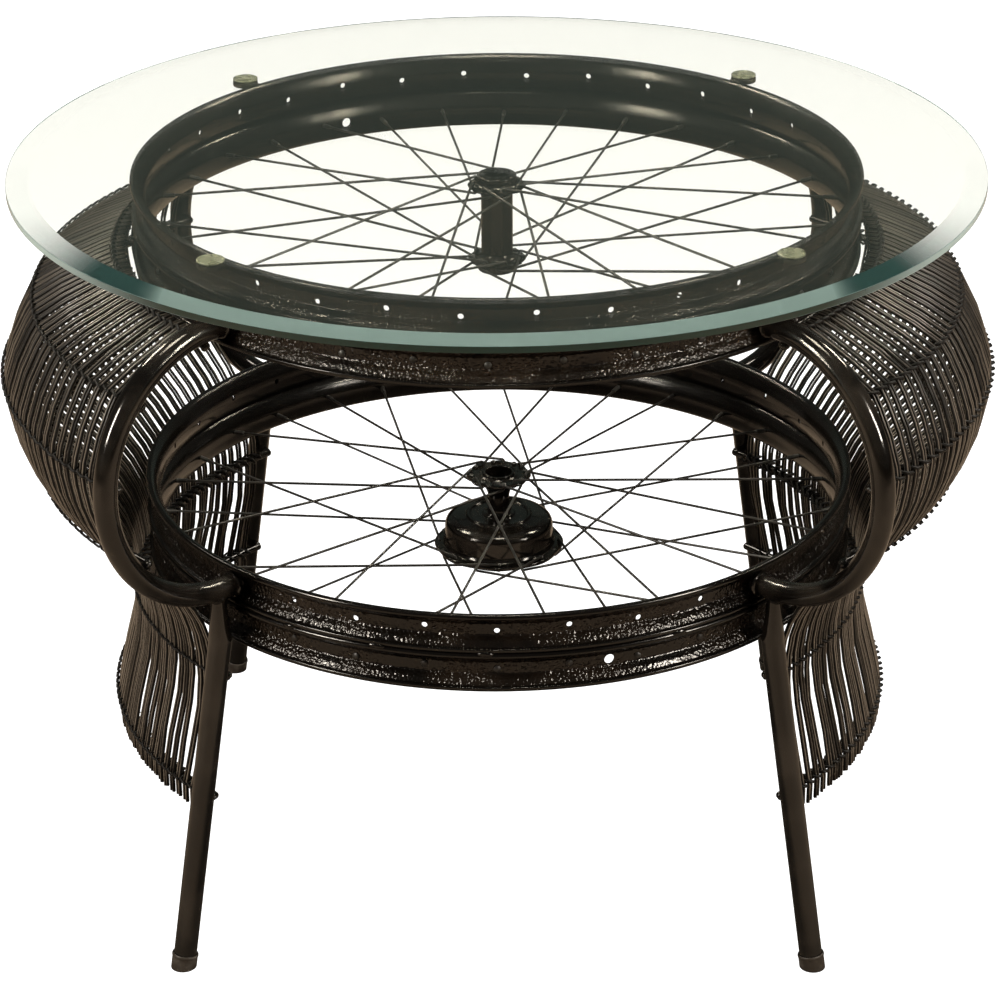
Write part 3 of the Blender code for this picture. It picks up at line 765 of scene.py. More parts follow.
def cut_holes(piece, node):
    near, far = RIM_RADIUS - RIM_BED_DEPTH - HOLE_MARGIN, RIM_RADIUS - RIM_WELL_DEPTH + HOLE_MARGIN
    rods = bmesh.new()
    for angle, height, radius in holes_of(node):
        rod_between(rods, polar(near, angle, height), polar(far, angle, height), radius, HOLE_SIDES)
    cutter = new_object("hole_rods", new_mesh("hole_rods", rods))
    modifier = piece.modifiers.new("Holes", "BOOLEAN")
    modifier.operation = "DIFFERENCE"
    modifier.solver = "EXACT"
    modifier.object = cutter
    solid = piece.evaluated_get(bpy.context.evaluated_depsgraph_get())
    drilled = bpy.data.meshes.new_from_object(solid)
    piece.modifiers.clear()
    piece.data = drilled
    bpy.data.objects.remove(cutter, do_unlink=True)


def mark_pits(mesh):
    """Note at each vertex how much crust there is: none on the lips and inside, all in the channel."""
    pits = mesh.attributes.new("pits", "FLOAT", "POINT")
    for vert in mesh.vertices:
        outward = vert.normal.x * vert.co.x + vert.normal.y * vert.co.y > 0.0
        depth = RIM_RADIUS - vert.co.xy.length
        share = (depth - SMOOTH_LIP) / (CRUST_START - SMOOTH_LIP)
        pits.data[vert.index].value = clamp(share) if outward else 0.0


def rim(node):
    bm = lathe(RIM_SECTION, RIM_STEPS)
    lift(bm, node_middle(node).z)
    piece = add_piece(node.replace("_rim", "_steel_rim"), bm, PITTED, [node])
    cut_holes(piece, node)
    mark_pits(piece.data)
    smooth(piece.data, SHARP_ANGLE)
    return piece


for rim_node in (*HOLE_PHASES, *VALVE_ANGLES):
    print(rim_node, "faces:", len(rim(rim_node).data.polygons))

# %% [markdown]
# ## Tack welds
# Each pair of rims is joined by short welds along the seam between them. A weld is a little hill of
# metal: a sphere, squeezed flat against the rim and made uneven with noise, under the same paint. A
# longer one holds each pad's seat to the top lip.

# %% Tack welds
TACK_ANGLES = (-123.0, -108.0, -91.5, -61.0, -38.0, -8.0, 24.0, 61.0, 97.0, 128.0, 158.0, 196.0)
TACK_SIZE = Vector((2.2, 6.5, 2.4)) * MM
TACK_DEPTH = 0.8 * MM
SEAT_WELD_SIZE = Vector((2.4, 7.0, 1.8)) * MM
TACK_UNEVEN = 0.9 * MM
WELD_GRAIN = 230.0


def roughen(verts, amount):
    for vert in verts:
        vert.co += noise.noise_vector(vert.co * WELD_GRAIN) * amount


def tack(bm, place, size, aim):
    """A flattened sphere, turned about Z and made uneven."""
    turn = Matrix.Rotation(math.radians(aim), 4, "Z")
    shape = Matrix.Translation(place) @ turn @ Matrix.Diagonal((*size, 1.0))
    roughen(bmesh.ops.create_icosphere(bm, subdivisions=2, radius=1.0, matrix=shape)["verts"], TACK_UNEVEN)


def tack_welds(level, lower_node, upper_node):
    bm = bmesh.new()
    seam = (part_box(lower_node)[1].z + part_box(upper_node)[0].z) / 2
    for angle in TACK_ANGLES:
        tack(bm, polar(RIM_RADIUS - TACK_DEPTH, angle, seam), TACK_SIZE, angle)
    return add_piece(f"{level}_tack_welds", bm, PITTED)


def seat_welds():
    bm = bmesh.new()
    for corner in CORNERS:
        middle = node_middle(f"pad_seat_{corner}")
        angle = math.degrees(math.atan2(middle.y, middle.x))
        tack(bm, polar(RIM_RADIUS, angle, middle.z), SEAT_WELD_SIZE, angle)
    return add_piece("seat_welds", bm, ENAMEL)


for wheel_level in ("lower", "upper"):
    tack_welds(wheel_level, f"{wheel_level}_spoked_rim", f"{wheel_level}_bare_rim")
seat_welds()
print("tack welds on each seam:", len(TACK_ANGLES))

# %% [markdown]
# ## Hubs
# The upper hub is a plain steel one: a barrel between two flanges, with a collar at each end. The
# lower one had a drum brake, so it has a wide domed drum below, a thin neck and a funnel-shaped
# flange above. Both are turned, and then the flanges' edges are pushed in and out a little where the
# spokes leave them.

# %% Upper hub
HUB_STEPS = 64
FLANGE_REACH = 32.0 * MM
FLANGE_RADIUS = 23.5 * MM
FLANGE_EDGE = 20.0 * MM
FLANGE_LOBES = 8
FLANGE_WAVE = 0.55 * MM
# Radius, height over the middle, and rounding, in millimetres
HUB_UPPER_HALF = [
    (10.0, 32.1, 0.0), (13.5, 32.1, 0.0), (13.5, 41.1, 0.6), (15.2, 42.0, 0.9), (16.5, 40.4, 1.0),
    (16.2, 35.0, 0.8), (18.0, 33.6, 0.6), (23.5, 33.2, 1.1), (23.5, 30.6, 1.1), (17.0, 30.4, 1.2),
    (13.1, 27.0, 2.0),
]


def scallop(bm, from_radius, depth):
    """Wave the rim of a flange in and out."""
    for vert in bm.verts:
        if math.hypot(vert.co.x, vert.co.y) > from_radius:
            angle = math.atan2(vert.co.y, vert.co.x)
            shift = depth * math.cos(FLANGE_LOBES * angle)
            vert.co.x += shift * math.cos(angle)
            vert.co.y += shift * math.sin(angle)


def upper_hub():
    bm = lathe(mirrored(in_metres(HUB_UPPER_HALF)), HUB_STEPS)
    scallop(bm, FLANGE_EDGE, FLANGE_WAVE)
    lift(bm, node_middle("upper_hub_shell").z)
    return add_piece("upper_hub_barrel", bm, ENAMEL, ["upper_hub_shell"])


print("upper hub faces:", len(upper_hub().data.polygons))

# %% Lower drum hub
DRUM_STEPS = 96
DRUM_FLANGE_RADIUS = 55.0 * MM
DRUM_FLANGE_EDGE = 52.0 * MM
DRUM_FLANGE_WAVE = 0.7 * MM
FUNNEL_RADIUS = 27.0 * MM
FUNNEL_EDGE = 24.0 * MM
FUNNEL_EDGE_HEIGHT = 28.0 * MM
FUNNEL_WAVE_SHARE = 0.030
# Radius, height over the middle, and rounding, in millimetres
DRUM_SECTION = [
    (6.0, 24.6, 0.0), (13.5, 24.6, 0.0), (13.5, 33.6, 0.5), (15.6, 34.3, 0.7), (17.0, 33.0, 0.8),
    (22.0, 32.9, 1.0), (27.0, 33.4, 0.9), (27.0, 30.6, 1.0), (19.5, 30.0, 1.5), (13.0, 24.0, 3.0),
    (9.2, 16.0, 3.0), (9.0, 2.0, 0.0), (9.4, -2.2, 1.4), (13.6, -3.2, 0.8), (14.2, -4.4, 0.6),
    (24.4, -4.6, 0.5), (25.4, -3.4, 0.6), (27.4, -3.4, 0.6), (28.4, -4.9, 0.6), (39.0, -5.8, 2.0),
    (45.4, -9.0, 2.6), (46.5, -13.5, 1.4), (46.5, -26.0, 0.8), (48.2, -29.6, 0.8), (55.0, -30.2, 1.0),
    (55.0, -33.4, 1.0), (43.5, -33.6, 0.6), (43.5, -14.0, 2.0), (38.0, -9.4, 2.0), (6.0, -8.4, 0.0),
]


def lower_hub():
    bm = lathe(in_metres(DRUM_SECTION), DRUM_STEPS)
    scallop(bm, DRUM_FLANGE_EDGE, DRUM_FLANGE_WAVE)
    for vert in bm.verts:
        if vert.co.z > FUNNEL_EDGE_HEIGHT and vert.co.xy.length > FUNNEL_EDGE:
            angle = math.atan2(vert.co.y, vert.co.x)
            vert.co.xy *= 1.0 + FUNNEL_WAVE_SHARE * math.cos(FLANGE_LOBES * angle)
    lift(bm, node_middle("lower_spoked_rim").z)
    return add_piece("lower_hub_drum", bm, ENAMEL, ["lower_drum_hub"])


print("lower hub faces:", len(lower_hub().data.polygons))

# %% Bearing cups
CUP_OUTER = 13.2 * MM
CUP_WALL = 1.8 * MM
CUP_EASE = 0.5 * MM
CUP_NODES = ("upper_hub_cup_top", "upper_hub_cup_bottom", "lower_hub_cup")


def bearing_cup(node):
    low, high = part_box(node)
    section = [(CUP_OUTER - CUP_WALL, low.z, 0.0), (CUP_OUTER - CUP_WALL, high.z, CUP_EASE),
               (CUP_OUTER, high.z, CUP_EASE), (CUP_OUTER, low.z, 0.0)]
    name = node.replace("hub_cup", "bearing_cup")
    return add_piece(name, lathe(section, HUB_STEPS), ENAMEL, [node])


for cup_node in CUP_NODES:
    bearing_cup(cup_node)
print("bearing cups:", len(CUP_NODES))

# %% [markdown]
# ## Growing round bars
# Spokes, tubes and hoops are all a round section carried along a line. `ring` makes the section,
# `carry` extrudes it straight on, `swing` spins it round a bend, and `taper` extrudes it to another
# radius. Each gives back the section at its far end, so the steps follow each other as the bender of
# the bar would take them.

# %% Bar tools
# How far each ring of a rounded end rises, as a share of the radius, and how far it narrows
DOME_RINGS = ((0.45, 0.86), (0.35, 0.62), (0.12, 0.35))


def of_kind(parts, kind):
    return [part for part in parts if isinstance(part, kind)]


def ring(bm, centre, normal, radius, sides):
    verts = bmesh.ops.create_circle(bm, segments=sides, radius=radius, matrix=aimed(centre, normal))["verts"]
    return verts + list({edge for vert in verts for edge in vert.link_edges})


def ring_centre(section):
    verts = of_kind(section, BMVert)
    return sum((vert.co for vert in verts), Vector()) / len(verts)


def carry(bm, section, offset):
    made = bmesh.ops.extrude_edge_only(bm, edges=of_kind(section, BMEdge))["geom"]
    verts = of_kind(made, BMVert)
    bmesh.ops.translate(bm, verts=verts, vec=offset)
    kept = set(verts)
    return verts + [edge for edge in of_kind(made, BMEdge) if set(edge.verts) <= kept]


def taper(bm, section, offset, factor):
    section = carry(bm, section, offset)
    bmesh.ops.scale(bm, verts=of_kind(section, BMVert), vec=(factor, factor, factor),
                    space=Matrix.Translation(-ring_centre(section)))
    return section


def swing(bm, section, centre, axis, angle, steps):
    return bmesh.ops.spin(bm, geom=section, cent=centre, axis=axis, angle=angle, steps=steps)["geom_last"]


def close_ends(bm):
    bmesh.ops.holes_fill(bm, edges=[edge for edge in bm.edges if edge.is_boundary], sides=0)
    bmesh.ops.recalc_face_normals(bm, faces=bm.faces)


def dome(bm, section, direction, radius):
    """Round off the end of a bar."""
    for rise, narrowing in DOME_RINGS:
        section = taper(bm, section, direction * radius * rise, narrowing)


# %% [markdown]
# ## Spokes
# Each wheel is laced three-cross: a spoke leaves its flange almost along the rim of the hub, crosses
# three others and ends in a nipple in the rim. Its head hooks through the flange from one side. All
# spokes that leave a flange the same way are alike, so one is made and a spin with `use_duplicate`
# copies it round. A last, slow noise bends each a little, because none of them is true any more.

# %% One spoke
SPOKE_RADIUS = 1.1 * MM
SPOKE_SIDES = 8
SPOKE_FLANGE_HALF = 1.7 * MM
SPOKE_HOLE_INSET = 3.4 * MM
HEAD_RADIUS = 2.2 * MM
HEAD_TOP_SHARE = 0.6
HEAD_CROWN, HEAD_NECK = 0.7 * MM, 0.5 * MM
ELBOW_RADIUS = 2.0 * MM
ELBOW_STEPS = 4
NIPPLE_RADIUS = 2.0 * MM
NIPPLE_LENGTH = 10.0 * MM
NIPPLE_SHOULDER = 0.6 * MM
NIPPLE_HEAD_RADIUS = 2.9 * MM
NIPPLE_HEAD_HEIGHT = 0.9 * MM
NIPPLE_CROWN = 0.8 * MM
NIPPLE_CROWN_SHARE = 0.55


def spoke(bm, hole, side, rim_end):
    """One spoke from its head on one face of a flange to its nipple's head in the rim's well."""
    through = UP * side
    run = (rim_end - hole).normalized()
    head_top = hole - through * (SPOKE_FLANGE_HALF + HEAD_CROWN + HEAD_NECK)
    section = ring(bm, head_top, through, HEAD_RADIUS * HEAD_TOP_SHARE, SPOKE_SIDES)
    section = taper(bm, section, through * HEAD_CROWN, 1 / HEAD_TOP_SHARE)
    section = taper(bm, section, through * HEAD_NECK, SPOKE_RADIUS / HEAD_RADIUS)
    section = carry(bm, section, through * 2 * SPOKE_FLANGE_HALF)
    elbow_side = (run - through * run.dot(through)).normalized()
    centre = ring_centre(section) + elbow_side * ELBOW_RADIUS
    axis = through.cross(run).normalized()
    section = swing(bm, section, centre, axis, through.angle(run), ELBOW_STEPS)
    nipple_start = rim_end - run * NIPPLE_LENGTH
    section = carry(bm, section, nipple_start - ring_centre(section))
    section = taper(bm, section, run * NIPPLE_SHOULDER, NIPPLE_RADIUS / SPOKE_RADIUS)
    section = carry(bm, section, run * (NIPPLE_LENGTH - NIPPLE_SHOULDER))
    section = taper(bm, section, run * (RIM_BED_DEPTH - RIM_WELL_DEPTH), NIPPLE_HEAD_RADIUS / NIPPLE_RADIUS)
    section = carry(bm, section, run * NIPPLE_HEAD_HEIGHT)
    taper(bm, section, run * NIPPLE_CROWN, NIPPLE_CROWN_SHARE)


# %% Laced wheels
SPOKE_CROSSES = 3
SPOKE_BEND = 1.1 * MM
SPOKE_BEND_GRAIN = 7.0
# Shares of the rim's radius between which a spoke is bent
BEND_START, BEND_END = 0.12, 0.96
UPPER_LACE, LOWER_LACE = 33.0, 11.5
# Rim, flange radius, side of the hub, and the angle of the first rim hole
SPOKE_SETS = {
    "upper_spokes_top": ("upper_spoked_rim", FLANGE_RADIUS, 1, UPPER_LACE),
    "upper_spokes_bottom": ("upper_spoked_rim", FLANGE_RADIUS, -1, UPPER_LACE + HOLE_PITCH),
    "lower_spokes_top": ("lower_spoked_rim", FUNNEL_RADIUS, 1, LOWER_LACE),
    "lower_spokes_bottom": ("lower_spoked_rim", DRUM_FLANGE_RADIUS, -1, LOWER_LACE + HOLE_PITCH),
}


def laced_half(node, rim_node, flange_radius, side, phase):
    """The sixteen spokes of one flange: eight lean one way, with heads outside, and eight the other."""
    bm = bmesh.new()
    level = node_middle(rim_node).z
    copies = SPOKE_COUNT // 4
    for lean, at_rim in ((side, phase), (-side, phase + 2 * HOLE_PITCH)):
        at_hub = at_rim - lean * SPOKE_CROSSES * 2 * HOLE_PITCH
        hole = polar(flange_radius - SPOKE_HOLE_INSET, at_hub, level + side * FLANGE_REACH)
        rim_end = polar(RIM_RADIUS - RIM_BED_DEPTH, at_rim, level + side * HOLE_STAGGER)
        one = bmesh.new()
        spoke(one, hole, lean * side, rim_end)
        close_ends(one)
        bmesh.ops.spin(one, geom=one.verts[:] + one.edges[:] + one.faces[:], cent=ORIGIN, axis=UP,
                       angle=math.tau * (copies - 1) / copies, steps=copies - 1, use_duplicate=True)
        add_into(bm, one)
    for vert in bm.verts:
        share = (vert.co.xy.length / RIM_RADIUS - BEND_START) / (BEND_END - BEND_START)
        sway = noise.noise_vector(vert.co * SPOKE_BEND_GRAIN) * SPOKE_BEND
        vert.co += sway * math.sin(math.pi * clamp(share))
    return add_piece(node.replace("spokes", "laced_spokes"), bm, DULL_ENAMEL, [node])


for spoke_node, spoke_facts in SPOKE_SETS.items():
    print(spoke_node, "faces:", len(laced_half(spoke_node, *spoke_facts).data.polygons))

# %% [markdown]
# ## Bowed tubes
# Each bow is a length of steel tube bent to a half circle, with its two ends let into the channels
# of the upper and the lower wheel. A weld runs round each end. The weld is a ring of round section,
# roughened with noise like the tacks.

# %% Bows
TUBE_RADIUS = 9.5 * MM
TUBE_SIDES = 28
BOW_STEPS = 56
BOW_CENTRE = Vector((0.3070, 0.0, node_middle("bow_tube_front_left").z))
BOW_RADIUS = (node_middle("upper_spoked_rim").z - node_middle("lower_bare_rim").z) / 2
BOW_END_DEPTH = 5.6 * MM
CORNER_ANGLES = {"front_right": -45.0, "rear_right": 45.0, "rear_left": 135.0, "front_left": -135.0}
BEAD_RADIUS = 1.5 * MM
BEAD_SIDES, BEAD_STEPS = 8, 36
BEAD_UNEVEN = 0.5 * MM
BEAD_GAP = 0.2 * MM
BEAD_DEPTH = 1.2 * MM


def weld_bead(bm, centre, normal, radius):
    """An uneven bead round a tube."""
    one = bmesh.new()
    side = normal.orthogonal().normalized()
    section = ring(one, centre + side * radius, normal.cross(side), BEAD_RADIUS, BEAD_SIDES)
    bmesh.ops.spin(one, geom=section, cent=centre, axis=normal, angle=math.tau, steps=BEAD_STEPS,
                   use_merge=True)
    bmesh.ops.recalc_face_normals(one, faces=one.faces)
    roughen(one.verts, BEAD_UNEVEN)
    add_into(bm, one)


def bow(corner):
    start = Vector((RIM_RADIUS - BOW_END_DEPTH, 0.0, BOW_CENTRE.z - BOW_RADIUS))
    run = Vector((BOW_CENTRE.x - start.x, 0.0, 0.0))
    bm = bmesh.new()
    section = ring(bm, start, ALONG_X, TUBE_RADIUS, TUBE_SIDES)
    section = carry(bm, section, run)
    section = swing(bm, section, BOW_CENTRE, (0, -1, 0), math.pi, BOW_STEPS)
    carry(bm, section, -run)
    close_ends(bm)
    for side in (1, -1):
        seat = Vector((RIM_RADIUS - BEAD_DEPTH, 0.0, BOW_CENTRE.z + side * BOW_RADIUS))
        weld_bead(bm, seat, ALONG_X, TUBE_RADIUS + BEAD_GAP)
    turn_to(bm, CORNER_ANGLES[corner])
    return add_piece(f"bent_bow_{corner}", bm, ENAMEL, [f"bow_tube_{corner}"])


for bow_corner in CORNERS:
    bow(bow_corner)
print("bows:", len(CORNERS), "radius", round(BOW_RADIUS, 4))

# %% [markdown]
# ## Legs and foot caps
# A leg is a tube, splayed outwards up to a knee below the lower wheel. From there it stands upright
# and was hammered in to a narrower neck, filed to a saddle that fits round the underside of the bow,
# so the last ring is moved up to that curve. A short cap closes its foot and is cut level by a
# bisecting plane where it stands on the floor.

# %% Legs
LEG_TILT = math.radians(10.88)
LEG_KNEE = Vector((0.3141, 0.0, 0.2810))
LEG_FOOT = Vector((LEG_KNEE.x + LEG_KNEE.z * math.tan(LEG_TILT), 0.0, 0.0))
LEG_AXIS = (LEG_KNEE - LEG_FOOT).normalized()
LEG_RINGS = 6
KNEE_BEND = 22.0 * MM
KNEE_STEPS = 3
NECK_RADIUS = 6.0 * MM
NECK_RINGS = 4
NECK_OVERLAP = 0.4 * MM
# The bead follows the saddle a little flatter, so that it stays outside the bow
BEAD_FLATNESS = 0.96
CAP_RADIUS = 11.1 * MM
CAP_HEIGHT = 12.0 * MM
CAP_FLOOR = 5.0 * MM


def saddle(offset):
    """Height of the bow's underside this far beside its axis."""
    return BOW_CENTRE.z - BOW_RADIUS - math.sqrt(max(0.0, TUBE_RADIUS ** 2 - offset ** 2))


def leg(corner):
    bm = bmesh.new()
    foot = LEG_FOOT + LEG_AXIS * CAP_FLOOR
    section = ring(bm, foot, LEG_AXIS, TUBE_RADIUS, TUBE_SIDES)
    for _ in range(LEG_RINGS):
        section = carry(bm, section, (LEG_KNEE - foot) / LEG_RINGS)
    outward = Vector((LEG_AXIS.z, 0.0, -LEG_AXIS.x))
    section = swing(bm, section, LEG_KNEE + outward * KNEE_BEND, (0, 1, 0), LEG_TILT, KNEE_STEPS)
    rise = UP * (saddle(0.0) - ring_centre(section).z)
    narrowing = NECK_RADIUS - TUBE_RADIUS
    radii = [TUBE_RADIUS + narrowing * step / NECK_RINGS for step in range(NECK_RINGS + 1)]
    for before, after in zip(radii, radii[1:]):
        section = taper(bm, section, rise / NECK_RINGS, after / before)
    neck_top = ring_centre(section)
    for vert in of_kind(section, BMVert):
        vert.co.z = saddle(vert.co.y) + NECK_OVERLAP
    close_ends(bm)
    bead = bmesh.new()
    weld_bead(bead, neck_top, UP, NECK_RADIUS)
    for vert in bead.verts:
        vert.co.z += saddle(vert.co.y * BEAD_FLATNESS) - neck_top.z
    add_into(bm, bead)
    turn_to(bm, CORNER_ANGLES[corner])
    return add_piece(f"splayed_leg_{corner}", bm, ENAMEL, [f"leg_{corner}"])


for leg_corner in CORNERS:
    leg(leg_corner)
print("legs:", len(CORNERS), "foot reach", round(LEG_FOOT.x, 4))

# %% Foot caps
CAP_STEPS = 48
CAP_BORE = TUBE_RADIUS + 0.2 * MM
CAP_EASE = 0.3 * MM
CAP_SIDE_INSET = 0.4 * MM
# Inset from the cap's radius, drop from its top, and rounding, in millimetres
CAP_LIP = [(0.3, -0.3, 0.5), (0.0, 1.6, 0.5), (0.5, 3.0, 0.4)]


def foot_cap(corner):
    below = -2 * CAP_RADIUS
    section = [(0.0, CAP_FLOOR, 0.0), (CAP_BORE, CAP_FLOOR, 0.0), (CAP_BORE, CAP_HEIGHT, CAP_EASE)]
    section += [(CAP_RADIUS - inset, CAP_HEIGHT - drop, rounding)
                for inset, drop, rounding in in_metres(CAP_LIP)]
    section += [(CAP_RADIUS - CAP_SIDE_INSET, below, 0.0), (0.0, below, 0.0)]
    bm = lathe(section, CAP_STEPS)
    bmesh.ops.transform(bm, matrix=aimed(LEG_FOOT, LEG_AXIS), verts=bm.verts)
    cut = bmesh.ops.bisect_plane(bm, geom=bm.verts[:] + bm.edges[:] + bm.faces[:], plane_co=ORIGIN,
                                 plane_no=UP, clear_inner=True)["geom_cut"]
    bmesh.ops.edgeloop_fill(bm, edges=of_kind(cut, BMEdge))
    bmesh.ops.recalc_face_normals(bm, faces=bm.faces)
    turn_to(bm, CORNER_ANGLES[corner])
    return add_piece(f"level_foot_cap_{corner}", bm, CAP, [f"foot_cap_{corner}"])


for cap_corner in CORNERS:
    foot_cap(cap_corner)
print("foot caps:", len(CORNERS))

# %% [markdown]
# ## The side panels' line
# Seen from the front, the rods leave the upper wheel, swell out round the bows, draw in to a waist
# under the lower wheel and flare again to a hem. That line is sampled once: an arc about the bow's
# centre, then two smooth curves that follow the legs. Any rod or lashing can then ask for the point
# at some length along it.

# %% Panel line
ROD_INSET = TUBE_RADIUS - 1.8 * MM
ROD_LINE_RADIUS = BOW_RADIUS - ROD_INSET
HOOP_RADIUS = 3.25 * MM
HOOP_INSET = TUBE_RADIUS + 0.3 * MM + HOOP_RADIUS
BOW_HOOPS = {"shoulder": 86.0, "upper": 43.0, "belly": 4.0, "lower": -41.0}
SKIRT_HOOPS = {"waist": 29.0 * MM, "hem": 133.0 * MM}
LOWER_WHEEL_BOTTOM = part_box("lower_spoked_rim")[0].z
LINE_TOP_ANGLE = 91.0
LINE_BLEND_ANGLE = -49.0
HEM_TAIL = 18.5 * MM
LINE_SAMPLES = 56
CURVE_PULL = 0.4
# How straight the rods run from the top to the first hoop, and from each hoop to the next
ROD_STRAIGHTNESS = (0.0, 0.75, 0.40, 0.25, 0.0)


def bow_point(radius, degrees):
    angle = math.radians(degrees)
    return Vector((BOW_CENTRE.x + radius * math.cos(angle), BOW_CENTRE.z + radius * math.sin(angle)))


def skirt_point(drop, inward):
    height = LOWER_WHEEL_BOTTOM - drop
    reach = LEG_FOOT.x - height * math.tan(LEG_TILT)
    return Vector((reach - inward / math.cos(LEG_TILT), height))


def curve_between(start, leaving, arriving, end):
    """Points of a cubic curve, without its first."""
    pull = CURVE_PULL * (end - start).length
    first, last = start + leaving * pull, end - arriving * pull
    points = []
    for index in range(1, LINE_SAMPLES + 1):
        gone = index / LINE_SAMPLES
        left = 1 - gone
        points.append(left ** 3 * start + 3 * gone * left ** 2 * first
                      + 3 * gone * gone * left * last + gone ** 3 * end)
    return points


def rod_reach(degrees):
    """Distance of the rods' line from the bow's centre: an arc, drawn straighter between two hoops."""
    rows = [LINE_TOP_ANGLE, *BOW_HOOPS.values(), LINE_BLEND_ANGLE]
    for high, low, straightness in zip(rows, rows[1:], ROD_STRAIGHTNESS):
        if degrees >= low:
            break
    half, off = math.radians(high - low) / 2, math.radians(degrees - (high + low) / 2)
    return ROD_LINE_RADIUS * (1.0 + straightness * (math.cos(half) / math.cos(off) - 1.0))


def panel_line():
    span = LINE_TOP_ANGLE - LINE_BLEND_ANGLE
    angles = [LINE_TOP_ANGLE - span * index / LINE_SAMPLES for index in range(LINE_SAMPLES + 1)]
    points = [bow_point(rod_reach(angle), angle) for angle in angles]
    waist, hem = (skirt_point(drop, ROD_INSET) for drop in SKIRT_HOOPS.values())
    blend = math.radians(LINE_BLEND_ANGLE)
    down, splay = Vector((0.0, -1.0)), Vector((math.sin(LEG_TILT), -math.cos(LEG_TILT)))
    points += curve_between(points[-1], Vector((math.sin(blend), -math.cos(blend))), down, waist)
    points += curve_between(waist, down, splay, hem)
    return points + [hem + down * HEM_TAIL]


# %% A line that can be asked for its points
STRAIGHT_SHARE = 4.0
NEAREST_STEPS = 600


class Line:
    """A sampled line of (reach, height) points that can be asked for a point at any length."""

    def __init__(self, points):
        self.points = points
        self.lengths = [0.0]
        self.efforts = [0.0]
        heading = None
        for first, second in zip(points, points[1:]):
            step = second - first
            bend = step.angle(heading, 0.0) if heading else 0.0
            heading = step
            self.lengths.append(self.lengths[-1] + step.length)
            self.efforts.append(self.efforts[-1] + bend + STRAIGHT_SHARE * step.length)
        self.length = self.lengths[-1]

    @staticmethod
    def step_at(marks, value):
        """The step that a value falls in, and the share of that step before it."""
        index = clamp(bisect.bisect_right(marks, value) - 1, 0, len(marks) - 2)
        return index, (value - marks[index]) / (marks[index + 1] - marks[index])

    def spread(self, share):
        """The length at a share of the whole bending, so that even shares lie close in the bends."""
        index, part = self.step_at(self.efforts, share * self.efforts[-1])
        return self.lengths[index] + part * (self.lengths[index + 1] - self.lengths[index])

    def at(self, length):
        """The point and the direction of the line there."""
        index, part = self.step_at(self.lengths, length)
        first, second = self.points[index], self.points[index + 1]
        return first.lerp(second, part), (second - first).normalized()

    def nearest(self, place):
        """The length at which the line comes closest to a point."""
        return min((self.length * index / NEAREST_STEPS for index in range(NEAREST_STEPS + 1)),
                   key=lambda length: (self.at(length)[0] - place).length)


PANEL_LINE = Line(panel_line())
print("rod length:", round(PANEL_LINE.length, 3))

# %% [markdown]
# ## Hoops
# Six round bars on each side run inside the front and the rear tube, and the rods are lashed to
# them. A hoop is a quarter circle with a short stub past each tube, and the stubs are ground round.
# A blob of weld holds it to each tube.

# %% Hoops
HOOP_SIDES = 14
HOOP_STEPS = 48
HOOP_STUB = 0.3 * MM
HOOP_WELD_SIZE = Vector((2.8, 4.8, 3.9)) * MM
HOOP_WELD_SHIFT = 0.7 * HOOP_RADIUS
FRAME_ANGLE = 45.0
SIDES = {"right": 0.0, "left": 180.0}


def hoop_places():
    places = {name: bow_point(BOW_RADIUS - HOOP_INSET, angle) for name, angle in BOW_HOOPS.items()}
    places.update({name: skirt_point(drop, HOOP_INSET) for name, drop in SKIRT_HOOPS.items()})
    return places


def hoop(row, place, side):
    bm = bmesh.new()
    front_way, rear_way = polar(-1.0, 90.0 - FRAME_ANGLE), polar(1.0, 90.0 + FRAME_ANGLE)
    front = ring(bm, polar(place.x, -FRAME_ANGLE, place.y), -front_way, HOOP_RADIUS, HOOP_SIDES)
    rear = swing(bm, front, ORIGIN, UP, math.radians(2 * FRAME_ANGLE), HOOP_STEPS)
    for end, way in ((front, front_way), (rear, rear_way)):
        dome(bm, carry(bm, end, way * HOOP_STUB), way, HOOP_RADIUS)
    close_ends(bm)
    for angle in (-FRAME_ANGLE, FRAME_ANGLE):
        tack(bm, polar(place.x + HOOP_WELD_SHIFT, angle, place.y), HOOP_WELD_SIZE, angle)
    turn_to(bm, SIDES[side])
    return add_piece(f"{row}_hoop_bar_{side}", bm, ENAMEL, [f"{row}_hoop_{side}"])


for hoop_side in SIDES:
    for hoop_row, hoop_place in hoop_places().items():
        hoop(hoop_row, hoop_place, hoop_side)
print("hoops:", len(SIDES) * len(hoop_places()))

# %% [markdown]
# ## Rattan rods
# About a hundred rods stand on each panel, two by two. Each starts as a straight rod, cut into
# short lengths by `subdivide_edges`, and is then bent along the panel's line, as the maker bent it
# over the hoops. Seeded random numbers give each its own thickness and ends, and noise makes each
# pair wander, so that some pairs lie close and others leave a gap. With so many rods, each has few
# rings, and they lie closest where the line bends most.

# %% Straight rod
ROD_PAIRS = 50
ROD_RADIUS = 1.72 * MM
ROD_SIDES = 4
ROD_RINGS = 25
ROD_SHARP = 120.0
ROD_EDGE_ANGLE = 42.7
ROD_SEED = 41


def straight_rod(sides, rings):
    """A rod one unit long and one unit in radius, cut across into rings."""
    bm = bmesh.new()
    rod_between(bm, ORIGIN, UP, 1.0, sides)
    upright = [edge for edge in bm.edges if edge.verts[0].co.z != edge.verts[1].co.z]
    bmesh.ops.subdivide_edges(bm, edges=upright, cuts=rings - 1, use_grid_fill=True)
    for name in ROD_NUMBERS:
        bm.verts.layers.float.new(name)
    return bm


print("rod faces:", len(straight_rod(ROD_SIDES, ROD_RINGS).faces))

